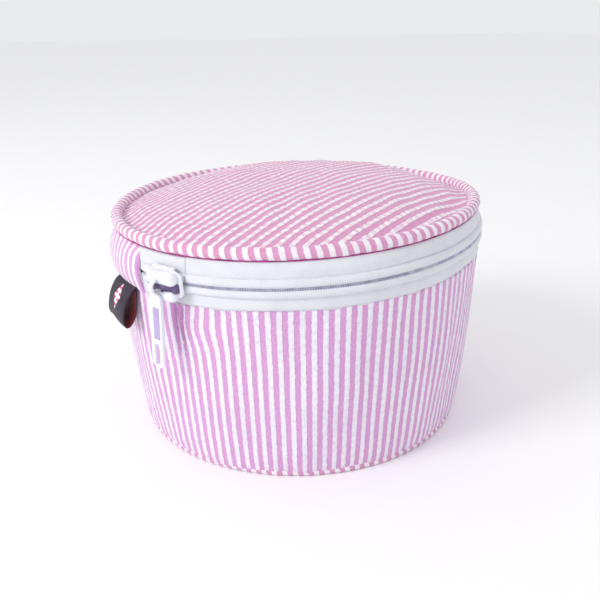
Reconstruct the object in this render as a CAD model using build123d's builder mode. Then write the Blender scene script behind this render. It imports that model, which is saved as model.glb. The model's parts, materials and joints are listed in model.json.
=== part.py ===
from build123d import *
import math
import os

os.makedirs("parts", exist_ok=True)

# A soft round hat box: a drum of striped fabric over foam, closed by a domed lid that unzips
# almost all the way round and folds back on a short fabric hinge panel.
# The base rests on z = 0, and the hinge panel is at the back, +Y. Millimetres throughout.

# ---- overall sizes ----
base_radius = 88.5          # the welt's centre line
seam_radius = 98.7          # outer face of the wall where it meets the zip
seam_height = 94.5          # height of that seam on the box's axis
rim_tilt = 2.5              # degrees: the rim dips towards the hinge
band_height = 22.8          # zip band, from the wall seam to the lid piping
coil_radius = 99.9          # mean radius of the zip's coil
junction_radius = 96.0      # where the zip band meets the lid piping
dome_height = 9.6           # lid centre above its edge
lid_rise = 36.4             # lid centre above the wall seam

# ---- cloth ----
fabric = 1.2
foam = 2.4
lid_foam_thickness = 1.8
lining = 0.6
gap = 0.3                   # running clearance between moving pieces

# ---- zip ----
tape_thickness = 0.9
tape_upright = 6.4          # the tapes stand straight this far either side of the chain
coil_height = 3.5           # one half of the closed chain, along the band
coil_thickness = 2.6
coil_gap = 0.9              # between the two halves, where the slider's neck runs
coil_middle = 10.8          # height of the chain's centre line above the wall seam
panel_half_angle = 12.5     # degrees either side of +Y
parking_angle = 31.0        # degrees from +Y to the end of each slider parking length
parking_break = 0.3         # degrees the parked zip stops short of that
free_break = 1.6            # degrees the lid's zip starts after it
slider_azimuth = 116.0      # where the closed zip's slider stands

# ---- slider and pull ----
slider_length = 20.5
slider_width = 15.4
inner_plate_width = 11.6
plate_thickness = 1.7
neck_thickness = 0.5
crown_rise = 5.6
crown_length = 15.0
crown_wire = 2.2
pull_length = 41.0
pull_width = 7.0
pull_thickness = 2.0

# ---- piping and labels ----
piping_radius = 3.0
piping_cover = 0.9
welt_radius = 2.0
welt_cover = 0.7
label_azimuth = 93.0
label_width = 24.0
label_drop = 21.0
label_reach = 9.5           # how far the loop stands out from the wall
label_thickness = 0.8

rim_origin = Vector(0, 0, seam_height)
rim_up = Vector(0, math.sin(math.radians(rim_tilt)), math.cos(math.radians(rim_tilt)))
rim_axis = Axis(rim_origin, rim_up)
rim_plane = Plane(origin=rim_origin, x_dir=(1, 0, 0), z_dir=rim_up)


def section(azimuth, upright=False):
    """The half plane through the box's axis (or the rim's) at an azimuth from +X."""
    turn = math.radians(azimuth)
    if upright:
        outward = Vector(math.cos(turn), math.sin(turn), 0)
        return Plane(origin=(0, 0, 0), x_dir=outward, z_dir=outward.cross(Vector(0, 0, 1)))
    outward = rim_plane.x_dir * math.cos(turn) + rim_plane.y_dir * math.sin(turn)
    return Plane(origin=rim_origin, x_dir=outward, z_dir=outward.cross(rim_up))


def save(part, name):
    """Label a finished piece and write it to its own file."""
    part.label = name
    export_step(part, f"parts/{name}.step")


# ---- wall: three layers between one leaning profile and its offsets ----
wall_bottom = 4.4
base_edge_radius = 90.6


def wall_layer(depth, thickness, low):
    """A ring of the wall, its outer face set in from the fabric's face by depth."""
    reach = seam_height + 8
    lean = (seam_radius - base_edge_radius) / (seam_height - wall_bottom)
    with BuildPart() as layer:
        with BuildSketch(section(0, upright=True)):
            with BuildLine():
                Polyline(
                    (base_edge_radius - depth + lean * (low - wall_bottom), low),
                    (seam_radius - depth + lean * (reach - seam_height), reach),
                    (seam_radius - depth - thickness + lean * (reach - seam_height), reach),
                    (base_edge_radius - depth - thickness + lean * (low - wall_bottom), low),
                    close=True,
                )
            make_face()
        revolve(axis=Axis.Z)
        split(bisect_by=rim_plane, keep=Keep.BOTTOM)
    return layer.part


save(wall_layer(0, fabric, wall_bottom), "wall_outer")
save(wall_layer(fabric, foam, wall_bottom), "wall_foam")
save(wall_layer(fabric + foam, lining, wall_bottom), "wall_lining")


# ---- base: fabric, board and lining, with a welt round the edge ----
base_disc_radius = base_radius - welt_radius - 0.1
board_thickness = 1.8

with BuildPart() as base_outer:
    Cylinder(base_disc_radius, fabric, align=(Align.CENTER, Align.CENTER, Align.MIN))
save(base_outer.part, "base_outer")

with BuildPart() as base_board:
    with BuildSketch(Plane.XY.offset(fabric)):
        Circle(base_disc_radius - 2)
    extrude(amount=board_thickness)
save(base_board.part, "base_board")

with BuildPart() as base_lining:
    with BuildSketch(Plane.XY.offset(fabric + board_thickness)):
        Circle(base_disc_radius - 2)
    extrude(amount=lining)
save(base_lining.part, "base_lining")

with BuildPart() as base_welt_cover:
    with BuildSketch(section(0, upright=True)):
        with Locations((base_radius, welt_radius)):
            Circle(welt_radius)
            Circle(welt_radius - welt_cover, mode=Mode.SUBTRACT)
    revolve(axis=Axis.Z)
save(base_welt_cover.part, "base_welt_cover")

with BuildPart() as base_welt_cord:
    with BuildSketch(section(0, upright=True)):
        with Locations((base_radius, welt_radius)):
            Circle(welt_radius - welt_cover)
    revolve(axis=Axis.Z)
save(base_welt_cord.part, "base_welt_cord")

binding_height = 8.0
with BuildPart() as base_seam_binding:
    with BuildSketch(section(0, upright=True)):
        with Locations((base_disc_radius - 2.5, fabric + board_thickness + lining)):
            Rectangle(1.0, binding_height, align=(Align.MAX, Align.MIN))
    revolve(axis=Axis.Z)
save(base_seam_binding.part, "base_seam_binding")


# ---- pieces that follow the tilted rim ----
def rim_ring(points, start, sweep):
    """Revolve a closed outline (radius, height above the wall seam) about the rim's axis."""
    with BuildPart() as ring:
        with BuildSketch(section(start)):
            with BuildLine():
                Polyline(*points, close=True)
            make_face()
        revolve(axis=rim_axis, revolution_arc=sweep)
    return ring.part


wall_inner = seam_radius - fabric - foam - lining
rim_binding = [
    (wall_inner - 1.6, -7.0),
    (wall_inner - 0.9, -7.0),
    (wall_inner - 0.9, 1.5),
    (wall_inner - 1.6, 1.5),
]
save(rim_ring(rim_binding, 0, 360), "rim_seam_binding")

# The tapes lean out to the chain and back in to the piping.
lower_edge = coil_middle - coil_gap / 2
upper_edge = coil_middle + coil_gap / 2
tape_face = coil_radius - coil_thickness / 2


def tape_outline(foot, foot_height, edge_height, joint_height):
    """A tape's section: leaning from its sewn foot, then upright behind the chain."""
    return [
        (foot, foot_height),
        (tape_face, joint_height),
        (tape_face, edge_height),
        (tape_face - tape_thickness, edge_height),
        (tape_face - tape_thickness, joint_height),
        (foot - tape_thickness, foot_height),
    ]


def coil_outline(near, far):
    """One half of the chain, with its corners eased."""
    ease = 0.7 if far > near else -0.7
    low = coil_radius - coil_thickness / 2
    high = coil_radius + coil_thickness / 2
    return [
        (low, near),
        (high - abs(ease), near),
        (high, near + ease),
        (high, far - ease),
        (high - abs(ease), far),
        (low, far),
    ]


zip_start = 90 + panel_half_angle + 0.3
zip_sweep = 360 - 2 * (panel_half_angle + 0.3)
parking_sweep = parking_angle - panel_half_angle - 0.3 - parking_break
free_start = 90 + parking_angle + free_break
free_sweep = 360 - 2 * (parking_angle + free_break)
lower_tape = tape_outline(seam_radius - 0.2, 0.0, lower_edge, coil_middle - tape_upright)
upper_tape = tape_outline(junction_radius, band_height, upper_edge, coil_middle + tape_upright)
lower_coil = coil_outline(lower_edge, lower_edge - coil_height)
upper_coil = coil_outline(upper_edge, upper_edge + coil_height)

save(rim_ring(lower_tape, zip_start, zip_sweep), "lower_zip_tape")
save(rim_ring(lower_coil, zip_start, zip_sweep), "lower_zip_coil")
save(rim_ring(upper_tape, free_start, free_sweep), "upper_zip_tape")
save(rim_ring(upper_coil, free_start, free_sweep), "upper_zip_coil")

# Beside the hinge the upper half of the zip stays down with the case, where the slider parks.
parking_starts = {"closed": zip_start, "open": 90 - parking_angle + parking_break}
parked_tape = [(radius, min(height, band_height - 0.6)) for radius, height in upper_tape]
for end, start in parking_starts.items():
    save(rim_ring(parked_tape, start, parking_sweep), f"{end}_end_upper_tape")
    save(rim_ring(upper_coil, start, parking_sweep), f"{end}_end_upper_coil")


# ---- hinge panel: a short length of the striped fabric that bulges between the seams ----
def panel_outline(depth, thickness):
    """The panel's section, bowed outwards between its two seams."""
    foot = seam_radius - 0.2 - depth
    head = junction_radius + 0.6 - depth
    bulge = coil_radius + 1.0 - depth
    shoulder = band_height * 0.8
    top = band_height - 0.6
    return [
        (foot, 0),
        (bulge, band_height * 0.3),
        (bulge, band_height * 0.55),
        (bulge - 1.6, shoulder),
        (head, top),
        (head - thickness, top),
        (bulge - 1.6 - thickness, shoulder),
        (bulge - thickness, band_height * 0.55),
        (bulge - thickness, band_height * 0.3),
        (foot - thickness, 0),
    ]


panel_start = 90 - panel_half_angle
panel_sweep = 2 * panel_half_angle
save(rim_ring(panel_outline(0, fabric), panel_start, panel_sweep), "hinge_panel")
save(rim_ring(panel_outline(fabric, lining), panel_start, panel_sweep), "hinge_lining")


# ---- lid: fabric, foam and lining in one shallow dome, and the piping round its edge ----
piping_centre_radius = 95.6
piping_centre_height = band_height + piping_radius + 0.1
lid_radius = piping_centre_radius - piping_radius - 0.2


def dome_radius(rise, half_width):
    """Radius of the sphere that rises this much over a disc of this half width."""
    return (half_width**2 + rise**2) / (2 * rise)


def lid_layer(top, thickness, half_width):
    """A shallow spherical shell whose top is at this height above the wall seam."""
    ball = dome_radius(dome_height, lid_radius)
    edge = top - ball + math.sqrt(ball**2 - half_width**2)
    with BuildPart() as layer:
        with BuildSketch(section(0)):
            with BuildLine():
                outer = ThreePointArc((0, top), (half_width / 2, top - ball
                                      + math.sqrt(ball**2 - half_width**2 / 4)), (half_width, edge))
                Line(outer @ 1, (half_width, edge - thickness))
                inner = ThreePointArc((half_width, edge - thickness),
                                      (half_width / 2, top - thickness - ball
                                       + math.sqrt(ball**2 - half_width**2 / 4)),
                                      (0, top - thickness))
                Line(inner @ 1, outer @ 0)
            make_face()
        revolve(axis=rim_axis)
    return layer.part


binding_width = 5.0
lining_top = lid_rise - fabric - lid_foam_thickness
save(lid_layer(lid_rise, fabric, lid_radius), "lid_top")
save(lid_layer(lid_rise - fabric, lid_foam_thickness, lid_radius), "lid_foam")
save(lid_layer(lining_top, lining, lid_radius - binding_width - 0.4), "lid_lining")

with BuildPart() as lid_piping_cover:
    with BuildSketch(section(0)):
        with Locations((piping_centre_radius, piping_centre_height)):
            Circle(piping_radius)
            Circle(piping_radius - piping_cover, mode=Mode.SUBTRACT)
    revolve(axis=rim_axis)
save(lid_piping_cover.part, "lid_piping_cover")

with BuildPart() as lid_piping_cord:
    with BuildSketch(section(0)):
        with Locations((piping_centre_radius, piping_centre_height)):
            Circle(piping_radius - piping_cover)
    revolve(axis=rim_axis)
save(lid_piping_cord.part, "lid_piping_cord")

binding_bottom = band_height + gap
lid_binding = [
    (lid_radius - binding_width, binding_bottom),
    (lid_radius, binding_bottom),
    (lid_radius, binding_bottom + lining),
    (lid_radius - binding_width, binding_bottom + lining),
]
save(rim_ring(lid_binding, 0, 360), "lid_seam_binding")


# ---- slider: two plates and a neck, round the chain at its own azimuth ----
slider_section = section(slider_azimuth)
chain_inner = tape_face - tape_thickness
chain_outer = coil_radius + coil_thickness / 2
slider_half_sweep = math.degrees(slider_length / 2 / coil_radius)


def plate_outline(inner_radius, outer_radius, half_width):
    """A plate's section across the zip."""
    return [
        (inner_radius, coil_middle - half_width),
        (outer_radius, coil_middle - half_width),
        (outer_radius, coil_middle + half_width),
        (inner_radius, coil_middle + half_width),
    ]


slider_facing = Plane(
    origin=rim_origin + slider_section.x_dir * coil_radius + rim_up * coil_middle,
    x_dir=rim_up.cross(slider_section.x_dir),
    z_dir=slider_section.x_dir,
)
outer_plate_face = chain_outer + gap + plate_thickness

with BuildPart() as slider_body:
    for low, high, width in (
        (chain_inner - gap - plate_thickness, chain_inner - gap, inner_plate_width),
        (chain_outer + gap, outer_plate_face, slider_width),
    ):
        with BuildSketch(section(slider_azimuth - slider_half_sweep)):
            with BuildLine():
                Polyline(*plate_outline(low, high, width / 2), close=True)
            make_face()
        revolve(axis=rim_axis, revolution_arc=2 * slider_half_sweep)
    # The outline seen from outside narrows towards the tail, with round corners.
    with BuildSketch(slider_facing.offset(-12)) as shadow:
        with BuildLine():
            Polyline(
                (-slider_length / 2, -slider_width / 2),
                (slider_length / 6, -slider_width / 2),
                (slider_length / 2, -slider_width / 2 + 2.4),
                (slider_length / 2, slider_width / 2 - 2.4),
                (slider_length / 6, slider_width / 2),
                (-slider_length / 2, slider_width / 2),
                close=True,
            )
        make_face()
        fillet(shadow.vertices(), 2.2)
    extrude(amount=24, mode=Mode.INTERSECT)
    # The neck joins the plates through the gap between the two halves of the chain.
    neck_sweep = math.degrees(5.0 / coil_radius)
    with BuildSketch(section(slider_azimuth - slider_half_sweep + 1.0)):
        with BuildLine():
            Polyline(
                *plate_outline(chain_inner - gap - 0.2, chain_outer + gap + 0.2, neck_thickness / 2),
                close=True,
            )
        make_face()
    revolve(axis=rim_axis, revolution_arc=neck_sweep)
save(slider_body.part, "slider_body")

# ---- crown: the smooth arch on the slider that the pull hangs from ----
crown_foot = outer_plate_face - coil_radius - 0.35
crown_top = outer_plate_face - coil_radius + crown_rise
crown_plane = Plane(
    origin=slider_facing.origin,
    x_dir=slider_facing.x_dir,
    z_dir=slider_facing.x_dir.cross(slider_facing.z_dir),
)
with BuildPart() as slider_crown:
    with BuildSketch(crown_plane):
        with BuildLine():
            Polyline(
                (-crown_length / 2, crown_foot),
                (-crown_length / 2 + 1.0, crown_top - 1.6),
                (-crown_length / 2 + 3.0, crown_top),
                (crown_length / 2 - 3.0, crown_top),
                (crown_length / 2 - 1.0, crown_top - 1.6),
                (crown_length / 2, crown_foot),
                (crown_length / 2 - crown_wire, crown_foot),
                (crown_length / 2 - crown_wire - 0.6, crown_top - crown_wire),
                (-crown_length / 2 + crown_wire + 0.6, crown_top - crown_wire),
                (-crown_length / 2 + crown_wire, crown_foot),
                close=True,
            )
        make_face()
    extrude(amount=crown_wire, both=True)
    fillet(slider_crown.edges().filter_by(Axis(slider_facing.origin, slider_facing.x_dir)), 0.7)
save(slider_crown.part, "slider_crown")

# ---- pull: hangs from an eye round the crown's bar, straight down the wall ----
bar_centre = crown_top - crown_wire / 2
eye_outer = 4.2
eye_inner = 2.9
eye_width = 4.6
pull_plane = Plane(
    origin=slider_facing.origin + slider_facing.z_dir * bar_centre,
    x_dir=slider_facing.x_dir,
    z_dir=slider_facing.z_dir,
)
slot_length = 11.0
slot_width = 3.4
recess_width = pull_width - 3.2
with BuildPart() as pull_tab:
    with BuildSketch(Plane(origin=pull_plane.origin, x_dir=pull_plane.z_dir, z_dir=pull_plane.x_dir)):
        Circle(eye_outer)
        Circle(eye_inner, mode=Mode.SUBTRACT)
    extrude(amount=eye_width / 2, both=True)
    with BuildSketch(pull_plane.offset(-pull_thickness / 2)):
        with Locations((0, -eye_outer + 1.2 - (pull_length - 4) / 2)):
            RectangleRounded(pull_width, pull_length - 4, pull_width / 2 - 0.1)
        with Locations((0, -pull_length + slot_length / 2 + 1.6)):
            SlotOverall(slot_length, slot_width, rotation=90, mode=Mode.SUBTRACT)
    extrude(amount=pull_thickness)
    with BuildSketch(Plane(origin=pull_plane.origin, x_dir=pull_plane.z_dir, z_dir=pull_plane.x_dir)):
        Circle(eye_inner)
    extrude(amount=pull_width, both=True, mode=Mode.SUBTRACT)
    with BuildSketch(pull_plane.offset(pull_thickness / 2)):
        with Locations((0, -pull_length / 2 + 2.5)):
            RectangleRounded(recess_width, pull_length / 2, recess_width / 2 - 0.1)
    extrude(amount=-0.6, mode=Mode.SUBTRACT)
save(pull_tab.part, "pull_tab")

# ---- label: a folded woven ribbon sewn into the wall seam under the hinge panel ----
label_section = section(label_azimuth)
label_plane = Plane(
    origin=rim_origin + label_section.x_dir * (seam_radius + gap),
    x_dir=label_section.x_dir,
    z_dir=label_section.z_dir,
)
with BuildPart() as label_loop:
    with BuildSketch(label_plane) as loop_profile:
        with BuildLine():
            Polyline(
                (0.2, -0.5),
                (label_reach * 0.8, -2.5),
                (label_reach, -label_drop + 3.0),
                (label_reach * 0.4, -label_drop),
                (0.2, -label_drop + 3.5),
                close=True,
            )
        make_face()
        fillet(loop_profile.vertices(), 1.6)
        offset(amount=-label_thickness, mode=Mode.SUBTRACT)
    extrude(amount=label_width / 2, both=True)
save(label_loop.part, "label_loop")
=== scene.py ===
"""A soft round hat box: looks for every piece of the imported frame.

The drum, the lid, the zip, its slider and pull, and the label are each a class that holds
its own sizes in metres, builds its meshes and dresses them in a finish.
"""

import json
import logging
import math
from dataclasses import dataclass, field
from enum import Enum
from typing import Callable, Iterable, Sequence

import bmesh
import bpy
import numpy as np
from mathutils import Matrix, Vector


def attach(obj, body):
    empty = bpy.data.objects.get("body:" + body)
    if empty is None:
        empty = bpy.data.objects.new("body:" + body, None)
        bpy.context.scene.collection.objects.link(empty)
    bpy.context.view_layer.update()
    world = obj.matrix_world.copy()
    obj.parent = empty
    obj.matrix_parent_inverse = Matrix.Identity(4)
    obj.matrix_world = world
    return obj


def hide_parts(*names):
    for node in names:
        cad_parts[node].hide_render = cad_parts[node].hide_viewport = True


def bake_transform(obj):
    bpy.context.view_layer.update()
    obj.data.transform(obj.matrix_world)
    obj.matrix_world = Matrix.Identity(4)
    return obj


LOG = logging.getLogger("hat_box")

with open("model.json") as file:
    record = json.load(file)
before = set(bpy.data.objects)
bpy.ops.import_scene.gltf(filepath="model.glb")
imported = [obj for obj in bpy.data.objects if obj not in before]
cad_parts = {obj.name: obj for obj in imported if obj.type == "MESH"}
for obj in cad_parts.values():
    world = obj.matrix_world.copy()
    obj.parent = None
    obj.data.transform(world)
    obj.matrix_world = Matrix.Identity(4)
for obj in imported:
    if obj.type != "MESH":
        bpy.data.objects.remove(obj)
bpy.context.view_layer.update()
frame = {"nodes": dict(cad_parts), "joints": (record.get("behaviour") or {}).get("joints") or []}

MM = 0.001
TURN = 2 * math.pi


class Body(Enum):
    """The moving bodies of the frame."""

    CASE = "case"
    LID = "lid"
    SLIDER = "slider"
    PULL = "pull"


class Slot(Enum):
    """The record's material slots, given with each new piece."""

    STRIPED = "striped_cotton"
    TAPE = "zip_tape"
    COIL = "zip_coil"
    LINING = "lining_cloth"
    BINDING = "binding_tape"
    RIBBON = "label_ribbon"
    ZINC = "painted_zinc"
    FOAM = "foam"


# ---------------------------------------------------------------- shared sizes


@dataclass(frozen=True)
class Sizes:
    """The driving dimensions that the design fixes, in metres and degrees."""

    seam_radius: float = 0.0987
    base_radius: float = 0.0885
    band_height: float = 0.0228
    junction_radius: float = 0.0960
    coil_radius: float = 0.0999
    coil_middle: float = 0.0108
    tape_face: float = 0.0986
    piping_radius: float = 0.0030
    piping_circle: float = 0.0956
    piping_height: float = 0.0259
    lid_radius: float = 0.0926
    lid_rise: float = 0.0364
    panel_half_angle: float = 12.5
    slider_azimuth: float = 116.0
    stripe_pitch: float = 0.00521

    @property
    def wall_stripes(self) -> int:
        """How many stripes go round the drum."""
        return round(TURN * self.seam_radius / self.stripe_pitch)


SIZES = Sizes()


@dataclass(frozen=True)
class Rim:
    """The tilted circle that the zip and the lid follow, read from the slider's joint."""

    origin: Vector
    up: Vector

    @classmethod
    def of_frame(cls) -> "Rim":
        """Read the rim's centre and axis from the joint that the slider turns on."""
        joint = next(j for j in frame["joints"] if j["name"] == "slider_travel")
        return cls(Vector(joint["pos_m"]), Vector(joint["axis"]).normalized())

    @property
    def matrix(self) -> Matrix:
        """Row-frame placement of a piece built round a level rim at the origin."""
        across = Vector((1, 0, 0))
        back = self.up.cross(across)
        turned = Matrix((across, back, self.up)).transposed().to_4x4()
        return Matrix.Translation(self.origin) @ turned

    def facing(self, azimuth: float, radius: float, height: float) -> Matrix:
        """Placement of a piece that faces outwards: x along the rim, y up, z out.

        Args:
            azimuth: Degrees from +X round the rim.
            radius: Distance from the rim's axis.
            height: Distance above the wall seam.

        Returns:
            The piece's placement in the row frame.
        """
        turn = math.radians(azimuth)
        out = Vector((math.cos(turn), math.sin(turn), 0))
        along = Vector((-math.sin(turn), math.cos(turn), 0))
        basis = Matrix((along, Vector((0, 0, 1)), out)).transposed().to_4x4()
        place = Matrix.Translation(out * radius + Vector((0, 0, height)))
        return self.matrix @ place @ basis


RIM = Rim.of_frame()


# ---------------------------------------------------------------- materials


class NodeGraph:
    """A material's node tree, with short methods for the nodes the finishes use."""

    def __init__(self, name: str) -> None:
        """Start an empty material of this name."""
        self.material = bpy.data.materials.new(name)
        self.material.use_nodes = True
        self.tree = self.material.node_tree
        self.tree.nodes.clear()

    def add(self, kind: str, **settings: object) -> bpy.types.Node:
        """Add a node and set its properties."""
        node = self.tree.nodes.new(kind)
        for name, value in settings.items():
            setattr(node, name, value)
        return node

    def feed(self, socket: bpy.types.NodeSocket, value: object) -> None:
        """Link a socket to another, or set it to a constant."""
        if isinstance(value, bpy.types.NodeSocket):
            self.tree.links.new(value, socket)
        else:
            socket.default_value = value

    def math(self, operation: str, *values: object) -> bpy.types.NodeSocket:
        """One Math node."""
        node = self.add("ShaderNodeMath", operation=operation)
        for socket, value in zip(node.inputs, values):
            self.feed(socket, value)
        return node.outputs[0]

    def join(self, x: object, y: object, z: object = 0.0) -> bpy.types.NodeSocket:
        """A vector from three numbers."""
        node = self.add("ShaderNodeCombineXYZ")
        for socket, value in zip(node.inputs, (x, y, z)):
            self.feed(socket, value)
        return node.outputs[0]

    def uv(self) -> tuple[bpy.types.NodeSocket, bpy.types.NodeSocket]:
        """The piece's own flat layout, in metres: across the stripes, and along them."""
        layout = self.add("ShaderNodeUVMap", uv_map="layout")
        parts = self.add("ShaderNodeSeparateXYZ")
        self.feed(parts.inputs[0], layout.outputs[0])
        return parts.outputs[0], parts.outputs[1]

    def place(self) -> bpy.types.NodeSocket:
        """Object coordinates."""
        return self.add("ShaderNodeTexCoord").outputs["Object"]

    def noise(self, vector: object, scale: float, detail: float = 2.0,
              roughness: float = 0.5) -> bpy.types.NodeSocket:
        """Smooth noise from 0 to 1."""
        node = self.add("ShaderNodeTexNoise")
        self.feed(node.inputs["Vector"], vector)
        node.inputs["Scale"].default_value = scale
        node.inputs["Detail"].default_value = detail
        node.inputs["Roughness"].default_value = roughness
        return node.outputs["Fac"]

    def remap(self, value: object, low: float, high: float, to_low: float = 0.0,
              to_high: float = 1.0, smooth: bool = True) -> bpy.types.NodeSocket:
        """Map a range onto another, with eased ends."""
        node = self.add("ShaderNodeMapRange")
        node.interpolation_type = "SMOOTHSTEP" if smooth else "LINEAR"
        for socket, number in zip(node.inputs, (value, low, high, to_low, to_high)):
            self.feed(socket, number)
        return node.outputs[0]

    def mix(self, factor: object, first: object, second: object) -> bpy.types.NodeSocket:
        """Blend two colours."""
        node = self.add("ShaderNodeMix", data_type="RGBA")
        self.feed(node.inputs[0], factor)
        self.feed(node.inputs[6], first)
        self.feed(node.inputs[7], second)
        return node.outputs[2]

    def wave(self, value: object, period: float) -> bpy.types.NodeSocket:
        """A sine of this period, from -1 to 1."""
        return self.math("SINE", self.math("MULTIPLY", value, TURN / period))

    def ribs(self, value: object, period: float) -> bpy.types.NodeSocket:
        """A sine of this period, from 0 to 1."""
        return self.math("MULTIPLY_ADD", self.wave(value, period), 0.5, 0.5)

    def streaks(self, first: tuple[object, float], second: tuple[object, float], detail: float,
                roughness: float = 0.5) -> bpy.types.NodeSocket:
        """Noise over two directions, each a value and its own scale."""
        scaled = [self.math("MULTIPLY", value, scale) for value, scale in (first, second)]
        return self.noise(self.join(*scaled), 1.0, detail, roughness)

    def bump(self, height: object, depth: float, strength: float = 1.0,
             below: bpy.types.NodeSocket | None = None) -> bpy.types.NodeSocket:
        """Turn a height into a bent normal, this deep in metres."""
        node = self.add("ShaderNodeBump")
        node.inputs["Strength"].default_value = strength
        node.inputs["Distance"].default_value = depth
        self.feed(node.inputs["Height"], height)
        if below is not None:
            self.feed(node.inputs["Normal"], below)
        return node.outputs[0]

    def surface(self, colour: object, normal: object, roughness: object,
                **constants: object) -> bpy.types.Material:
        """Finish the material with one Principled shader.

        Args:
            colour: Base colour, a socket or an RGBA.
            normal: Bent normal.
            roughness: A socket or a number.
            **constants: Other inputs by name with underscores for spaces.

        Returns:
            The finished material.
        """
        shader = self.add("ShaderNodeBsdfPrincipled")
        self.feed(shader.inputs["Base Color"], colour)
        self.feed(shader.inputs["Roughness"], roughness)
        if normal is not None:
            self.feed(shader.inputs["Normal"], normal)
        for name, value in constants.items():
            shader.inputs[name.replace("_", " ")].default_value = value
        output = self.add("ShaderNodeOutputMaterial")
        self.feed(output.inputs[0], shader.outputs[0])
        return self.material


Colour = tuple[float, float, float, float]


def srgb(red: int, green: int, blue: int) -> Colour:
    """A linear RGBA from a colour as it looks on a screen."""
    def linear(part: int) -> float:
        """One channel made linear."""
        share = part / 255
        return share / 12.92 if share <= 0.04045 else ((share + 0.055) / 1.055) ** 2.4
    return (linear(red), linear(green), linear(blue), 1.0)


@dataclass(frozen=True)
class StripedCotton:
    """Puckered cotton with pink stripes on white, woven on fine yarns."""

    name: str = "striped_cotton"
    pink: Colour = srgb(222, 165, 216)
    deep_pink: Colour = srgb(206, 138, 200)
    white: Colour = srgb(243, 240, 249)
    shade: Colour = srgb(226, 218, 238)
    # A pinker tone painted between the beads of the white stripes: painted shade, where the puckers shadow
    # the cloth.
    bead_shadow_colour: Colour = srgb(232, 184, 220)
    pitch: float = SIZES.stripe_pitch
    pink_share: float = 0.5
    yarn: float = 0.00046
    pucker_depth: float = 0.00028
    pucker_length: float = 0.0042
    sway: float = 0.0005
    bead_shadow_strength: float = 0.12

    def material(self) -> bpy.types.Material:
        """Build the cloth's node tree."""
        graph = NodeGraph(self.name)
        across, along = graph.uv()
        drift = graph.streaks((across, 14.0), (along, 26.0), 2.0)
        edge = graph.streaks((across, 300.0), (along, 420.0), 2.0)
        moved = graph.math("MULTIPLY_ADD", graph.math("SUBTRACT", drift, 0.5), 2 * self.sway, across)
        moved = graph.math("MULTIPLY_ADD", graph.math("SUBTRACT", edge, 0.5), 0.0009, moved)
        ping = graph.math("PINGPONG", graph.math("DIVIDE", moved, self.pitch), 0.5)
        half = self.pink_share / 2
        pinkness = graph.remap(ping, half - 0.035, half + 0.035, 1.0, 0.0)
        # Warp and weft cross at every yarn; the dyed stripe shows the white weft as specks.
        warp = graph.wave(across, self.yarn)
        weft = graph.wave(along, self.yarn)
        crossing = graph.math("MULTIPLY", warp, weft)
        speck_place = graph.join(graph.math("MULTIPLY", across, 1 / 0.0011),
                                 graph.math("MULTIPLY", along, 1 / 0.0008))
        speck = graph.noise(speck_place, 1.0, 3.0, 0.7)
        slub = graph.streaks((across, 2200.0), (along, 130.0), 2.0)
        patch = graph.noise(graph.join(across, along), 45.0, 2.0)
        dye = graph.mix(graph.remap(speck, 0.35, 0.75), self.pink, self.deep_pink)
        dye = graph.mix(graph.math("MULTIPLY", graph.remap(crossing, 0.2, 1.0), 0.28), dye, self.white)
        plain = graph.mix(graph.remap(speck, 0.45, 0.8), self.white, self.shade)
        plain = graph.mix(graph.math("MULTIPLY", graph.remap(patch, 0.45, 0.75), 0.35), plain, self.shade)
        # Between the beads of each white stripe the colour is pulled towards a pinker tone: painted shade,
        # for the shadow of the puckers.
        stripe = graph.math("FLOOR", graph.math("DIVIDE", moved, self.pitch))
        wander = graph.noise(graph.join(across, along), 90.0, 1.0)
        step = graph.math("MULTIPLY_ADD", wander, 0.7, graph.math("MULTIPLY", stripe, 0.618))
        turn = graph.math("ADD", graph.math("DIVIDE", along, 0.0044), step)
        bead = graph.ribs(turn, 1.0)
        bead_shadow_share = graph.math("MULTIPLY", graph.remap(bead, 0.62, 0.18), self.bead_shadow_strength)
        plain = graph.mix(bead_shadow_share, plain, self.bead_shadow_colour)
        colour = graph.mix(pinkness, plain, dye)
        pucker_place = graph.join(graph.math("DIVIDE", across, self.pitch * 0.9),
                                  graph.math("DIVIDE", along, self.pucker_length))
        pucker = graph.noise(pucker_place, 1.0, 1.0)
        slack = graph.math("SUBTRACT", 1.0, graph.math("MULTIPLY", pinkness, 0.7))
        normal = graph.bump(graph.math("MULTIPLY", pucker, slack), self.pucker_depth * 4, 0.8)
        thread = graph.math("MULTIPLY_ADD", slub, 0.6, graph.math("MULTIPLY", crossing, 0.4))
        normal = graph.bump(thread, 0.00012, 0.7, normal)
        rough = graph.remap(speck, 0.2, 0.8, 0.78, 0.92)
        return graph.surface(colour, normal, rough, Sheen_Weight=0.25, Sheen_Roughness=0.45,
                             Specular_IOR_Level=0.25)


@dataclass(frozen=True)
class PlainCotton:
    """Smooth undyed cloth with a fine plain weave, as on the lining."""

    name: str = "lining_cotton"
    white: Colour = srgb(242, 240, 242)
    shade: Colour = srgb(232, 229, 235)
    yarn: float = 0.0004

    def material(self) -> bpy.types.Material:
        """Build the cloth's node tree."""
        graph = NodeGraph(self.name)
        across, along = graph.uv()
        warp = graph.wave(across, self.yarn)
        weft = graph.wave(along, self.yarn)
        crossing = graph.math("MULTIPLY", warp, weft)
        soft = graph.noise(graph.join(across, along), 60.0, 3.0)
        slub = graph.streaks((across, 1500.0), (along, 120.0), 2.0)
        colour = graph.mix(graph.remap(soft, 0.35, 0.75), self.white, self.shade)
        colour = graph.mix(graph.math("MULTIPLY", graph.remap(slub, 0.5, 0.8), 0.4), colour, self.shade)
        normal = graph.bump(soft, 0.0012, 0.5)
        normal = graph.bump(graph.math("ADD", crossing, slub), 0.00008, 0.7, normal)
        rough = graph.remap(slub, 0.3, 0.8, 0.75, 0.9)
        return graph.surface(colour, normal, rough, Sheen_Weight=0.2, Specular_IOR_Level=0.25)


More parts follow.
